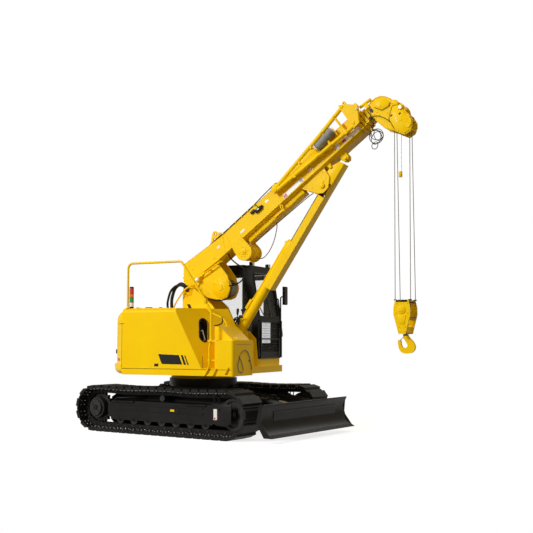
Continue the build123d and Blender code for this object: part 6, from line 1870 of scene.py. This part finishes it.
@dataclass
class HookBlock:
    """Pin caps, straps, latch and nut of the hook block."""

    x: float
    pin: float = 1985.0
    top: float = 2141.0
    low: float = 1615.0
    half: float = 190.0
    hook: float = 1315.0

    def build(self) -> None:
        """Makes the pieces."""
        caps = Shape()
        for side in SIDES:
            face = side * self.half
            caps.turned(cap(62, 8, 12, 54, 28, (20, 24)), (self.x, face, self.pin), (0, side, 0), 36)
            caps.bolts(round_y((self.x, face + side * 12, self.pin), 42, 6, 30), (0, side, 0), 7, 6)
            for dx, z in ((-84, self.top - 60), (84, self.top - 60), (-92, self.top - 200), (92, self.top - 200),
                          (-38, self.low + 40), (38, self.low + 40), (-50, self.low + 110), (50, self.low + 110)):
                caps.bolts([(self.x + dx, face, z)], (0, side, 0), 10, 8)
            caps.plate([(self.x - 40, self.low + 150), (self.x + 40, self.low + 150), (self.x + 66, self.top - 240),
                        (self.x - 66, self.top - 240)], face, face + side * 7, 2)
        caps.finish("block_caps", "lower_block", Coat.YELLOW)
        cross = Shape()
        cross.box((self.x - 88, self.x + 88), (-self.half - 12, self.half + 12), (self.top - 34, self.top - 6), 5)
        for side in SIDES:
            for dx in (-117, 117):
                cross.box((self.x + dx - 22, self.x + dx + 22), (side * 128 - 26, side * 128 + 26),
                          (self.top - 10, self.top + 6), 4)
        for x in (self.x - 112, self.x + 112):
            cross.rod((x, -168, self.low + 250), (x, 168, self.low + 250), 9)
        cross.finish("block_straps", "lower_block", Coat.BLACK)
        latch = Shape()
        mouth = Vector((self.x - 30, 0, self.hook + 262))
        tip = Vector((self.x - 98, 0, self.hook + 190))
        run = (tip - mouth).normalized()
        for side in SIDES:
            offset = Vector((0, side * 20, 0))
            latch.rod(mouth + offset, mouth + offset + run * 60, 5, sides=10)
            latch.rod(mouth + offset + run * 58, tip + offset * 0.4, 5, sides=10)
        latch.rod(mouth + Vector((0, -34, 0)), mouth + Vector((0, 34, 0)), 9, sides=16, bevel=1.5)
        turn = run.to_track_quat("Z", "Y").to_matrix().to_4x4()
        latch.box((-8, 8), (-13, 13), (-4, 4), 2, Matrix.Translation(tip) @ turn)
        latch.finish("hook_latch", "load_hook", Coat.STEEL)
        nut = Shape()
        nut.turned(cap(44, 16, 20, 38), (self.x, 0, self.low - 4), (0, 0, -1), 36)
        nut.finish("hook_collar", "load_hook", Coat.CAST)


@dataclass
class Ropes:
    """The four falls, and the anti-two-block weight with its line."""

    x: float
    top: float
    line: float = 123.3
    low: float = 1985.0
    low_spread: float = 128.0
    high_spread: float = 56.0
    rope_radius: float = 6.0

    def build(self) -> None:
        """Makes the weight, its line and the falls."""
        side = self.x - 123
        weight = Shape()
        weight.turned([(0, 10), (0, 24), (6, 29), (84, 29), (90, 24), (90, 10), (0, 10)],
                      (side + 45, 76, self.top - 865), UP, 32)
        weight.finish("switch_weight", "falls", Coat.YELLOW)
        line = Shape()
        line.pipe([(side + 62, 76, self.top - 776), (side + 68, 64, self.top - 400),
                   (side + 84, 40, self.top - 130)], 4, 40, 8)
        line.finish("switch_line", "falls", Coat.STEEL)
        self.falls()

    def falls(self) -> None:
        """Makes the four falls, which draw in towards the head as the hook goes up."""
        rope = Shape()
        for side in SIDES:
            for y in SIDES:
                x = self.x + side * self.line
                rope.pipe([(x, y * self.low_spread, self.low), (x, y * self.high_spread, self.top)],
                          self.rope_radius, sides=16)
        falls = rope.finish("wire_falls", "falls", Coat.ROPE)
        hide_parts("hoist_falls")
        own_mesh(falls)


# ---- studio ----
@dataclass
class Studio:
    """Floor, backdrop, lights and camera."""

    camera_mm: Point = (9725.0, -12259.0, 1532.0)
    yaw: float = 34.46
    pitch: float = 4.61
    lens: float = 61.08
    floor_glow: float = 0.75
    pool: Point = (2.6, 5.5)
    floor_half: float = 60.0
    floor_bounce: Point = (0.13, 0.1, 0.07, 1.0)
    soft_colour: Point = (1.0, 0.84, 0.62, 1.0)
    soft_strength: float = 0.42
    aim: Point = (0.0, 0.0, 2.0)

    def build(self) -> None:
        """Makes the stage and the lights."""
        self.floor()
        self.lamps()
        self.camera()

    def floor(self) -> None:
        """Lays the pale floor, white to the camera."""
        mesh = bpy.data.meshes.new("floor")
        bm = bmesh.new()
        bmesh.ops.create_grid(bm, x_segments=1, y_segments=1, size=self.floor_half)
        bm.to_mesh(mesh)
        bm.free()
        floor = bpy.data.objects.new("floor", mesh)
        bpy.context.scene.collection.objects.link(floor)
        n = Nodes("pale_floor")
        n.link(n.mix(n.remap(n.noise(1.5), 0.3, 0.7, 0.0, 1.0), grey(0.5), grey(0.49)), n.shader.inputs["Base Color"])
        n.shader.inputs["Roughness"].default_value = 0.9
        n.shader.inputs["Specular IOR Level"].default_value = 0.0
        glow, plain, bounce = n.add("ShaderNodeEmission"), n.add("ShaderNodeEmission"), n.add("ShaderNodeBsdfDiffuse")
        glow.inputs["Strength"].default_value = self.floor_glow
        bounce.inputs["Color"].default_value = self.floor_bounce
        far = n.add("ShaderNodeVectorMath", operation="LENGTH")
        n.link(n.where, far.inputs[0])
        lit, spread_out, shown = (n.add(f"ShaderNode{kind}") for kind in ("AddShader", "MixShader", "MixShader"))
        n.link(n.remap(far.outputs["Value"], *self.pool, 0.0, 1.0), spread_out.inputs[0])
        for source, target in ((n.shader, lit.inputs[0]), (glow, lit.inputs[1]), (lit, spread_out.inputs[1]),
                               (plain, spread_out.inputs[2])):
            n.link(source.outputs[0], target)
        path = n.add("ShaderNodeLightPath")
        seen = path.outputs["Is Camera Ray"]
        for ray in ("Is Glossy Ray", "Is Transmission Ray"):
            either = n.add("ShaderNodeMath", operation="MAXIMUM")
            n.link(seen, either.inputs[0])
            n.link(path.outputs[ray], either.inputs[1])
            seen = either.outputs[0]
        n.link(seen, shown.inputs[0])
        for source, target in ((bounce, shown.inputs[1]), (spread_out, shown.inputs[2]), (shown, n.out.inputs[0])):
            n.link(source.outputs[0], target)
        mesh.materials.append(n.material)

    def lamps(self) -> None:
        """Sets the warm soft light, the world that is white to the camera, and the three lamps."""
        world = bpy.data.worlds.new("studio")
        bpy.context.scene.world = world
        world.use_nodes = True
        tree = world.node_tree
        tree.nodes.clear()
        out, mix, soft, white, path = (tree.nodes.new(f"ShaderNode{kind}") for kind in (
            "OutputWorld", "MixShader", "Background", "Background", "LightPath"))
        for light, colour, strength in ((soft, self.soft_colour, self.soft_strength), (white, WHITE, 1.0)):
            light.inputs["Color"].default_value = colour
            light.inputs["Strength"].default_value = strength
        for source, target in ((path.outputs["Is Camera Ray"], mix.inputs[0]), (soft.outputs[0], mix.inputs[1]),
                               (white.outputs[0], mix.inputs[2]), (mix.outputs[0], out.inputs[0])):
            tree.links.new(source, target)
        for name, spot, size, power in (
            ("key", (-9.0, -24.0, 13.0), 8.0, 6000.0),
            ("fill", (16.0, -9.0, 7.0), 8.0, 300.0),
            ("rim", (2.0, 14.0, 14.0), 8.0, 900.0),
        ):
            lamp = bpy.data.lights.new(name, "AREA")
            lamp.energy = power
            lamp.size = size
            holder = bpy.data.objects.new(name, lamp)
            holder.location = spot
            holder.rotation_euler = (Vector(self.aim) - Vector(spot)).to_track_quat("-Z", "Y").to_euler()
            bpy.context.scene.collection.objects.link(holder)

    def camera(self) -> None:
        """Places the camera at the crane's right front, at eye height."""
        data = bpy.data.cameras.new("camera")
        data.lens = self.lens
        data.clip_end = 200.0
        holder = bpy.data.objects.new("camera", data)
        holder.location = PLACES.ground @ Vector(self.camera_mm)
        holder.rotation_euler = (radians(90.0 + self.pitch), 0.0, radians(self.yaw))
        bpy.context.scene.collection.objects.link(holder)
        bpy.context.scene.camera = holder


def main() -> None:
    """Builds the crane's dress, in order, and reports each part."""
    logging.basicConfig(level=logging.INFO, format="%(message)s")
    bpy.context.scene.view_settings.view_transform = "Standard"
    slots = {row["node"]: row["material_slot"] for row in frame["record"]["subparts"]}
    by_slot = {"yellow_paint": Coat.YELLOW, "black_paint": Coat.BLACK, "cast_steel": Coat.CAST,
               "track_steel": Coat.TRACK, "chrome": Coat.CHROME, "lamp": Coat.RED, "glass": Coat.GLASS,
               "dark_plastic": Coat.PLASTIC, "wire_rope": Coat.ROPE}
    Solids({node: by_slot[slot] for node, slot in slots.items()}).build()
    eye = PLACES.luff.inverted() @ PLACES.boom @ BRACKET_PIN
    nose = PLACES.upper.inverted() @ PLACES.boom @ NOSE_SHEAVE
    for part in (Tracks(), Blade(), UpperWorks(), Cab(), Boom(), Winch(), LuffCylinder(length=eye.x), Head(),
                 HookBlock(x=nose.x), Ropes(x=nose.x, top=nose.z), Studio()):
        log.info("building %s", type(part).__name__)
        part.build()


if __name__ == "__main__":
    main()
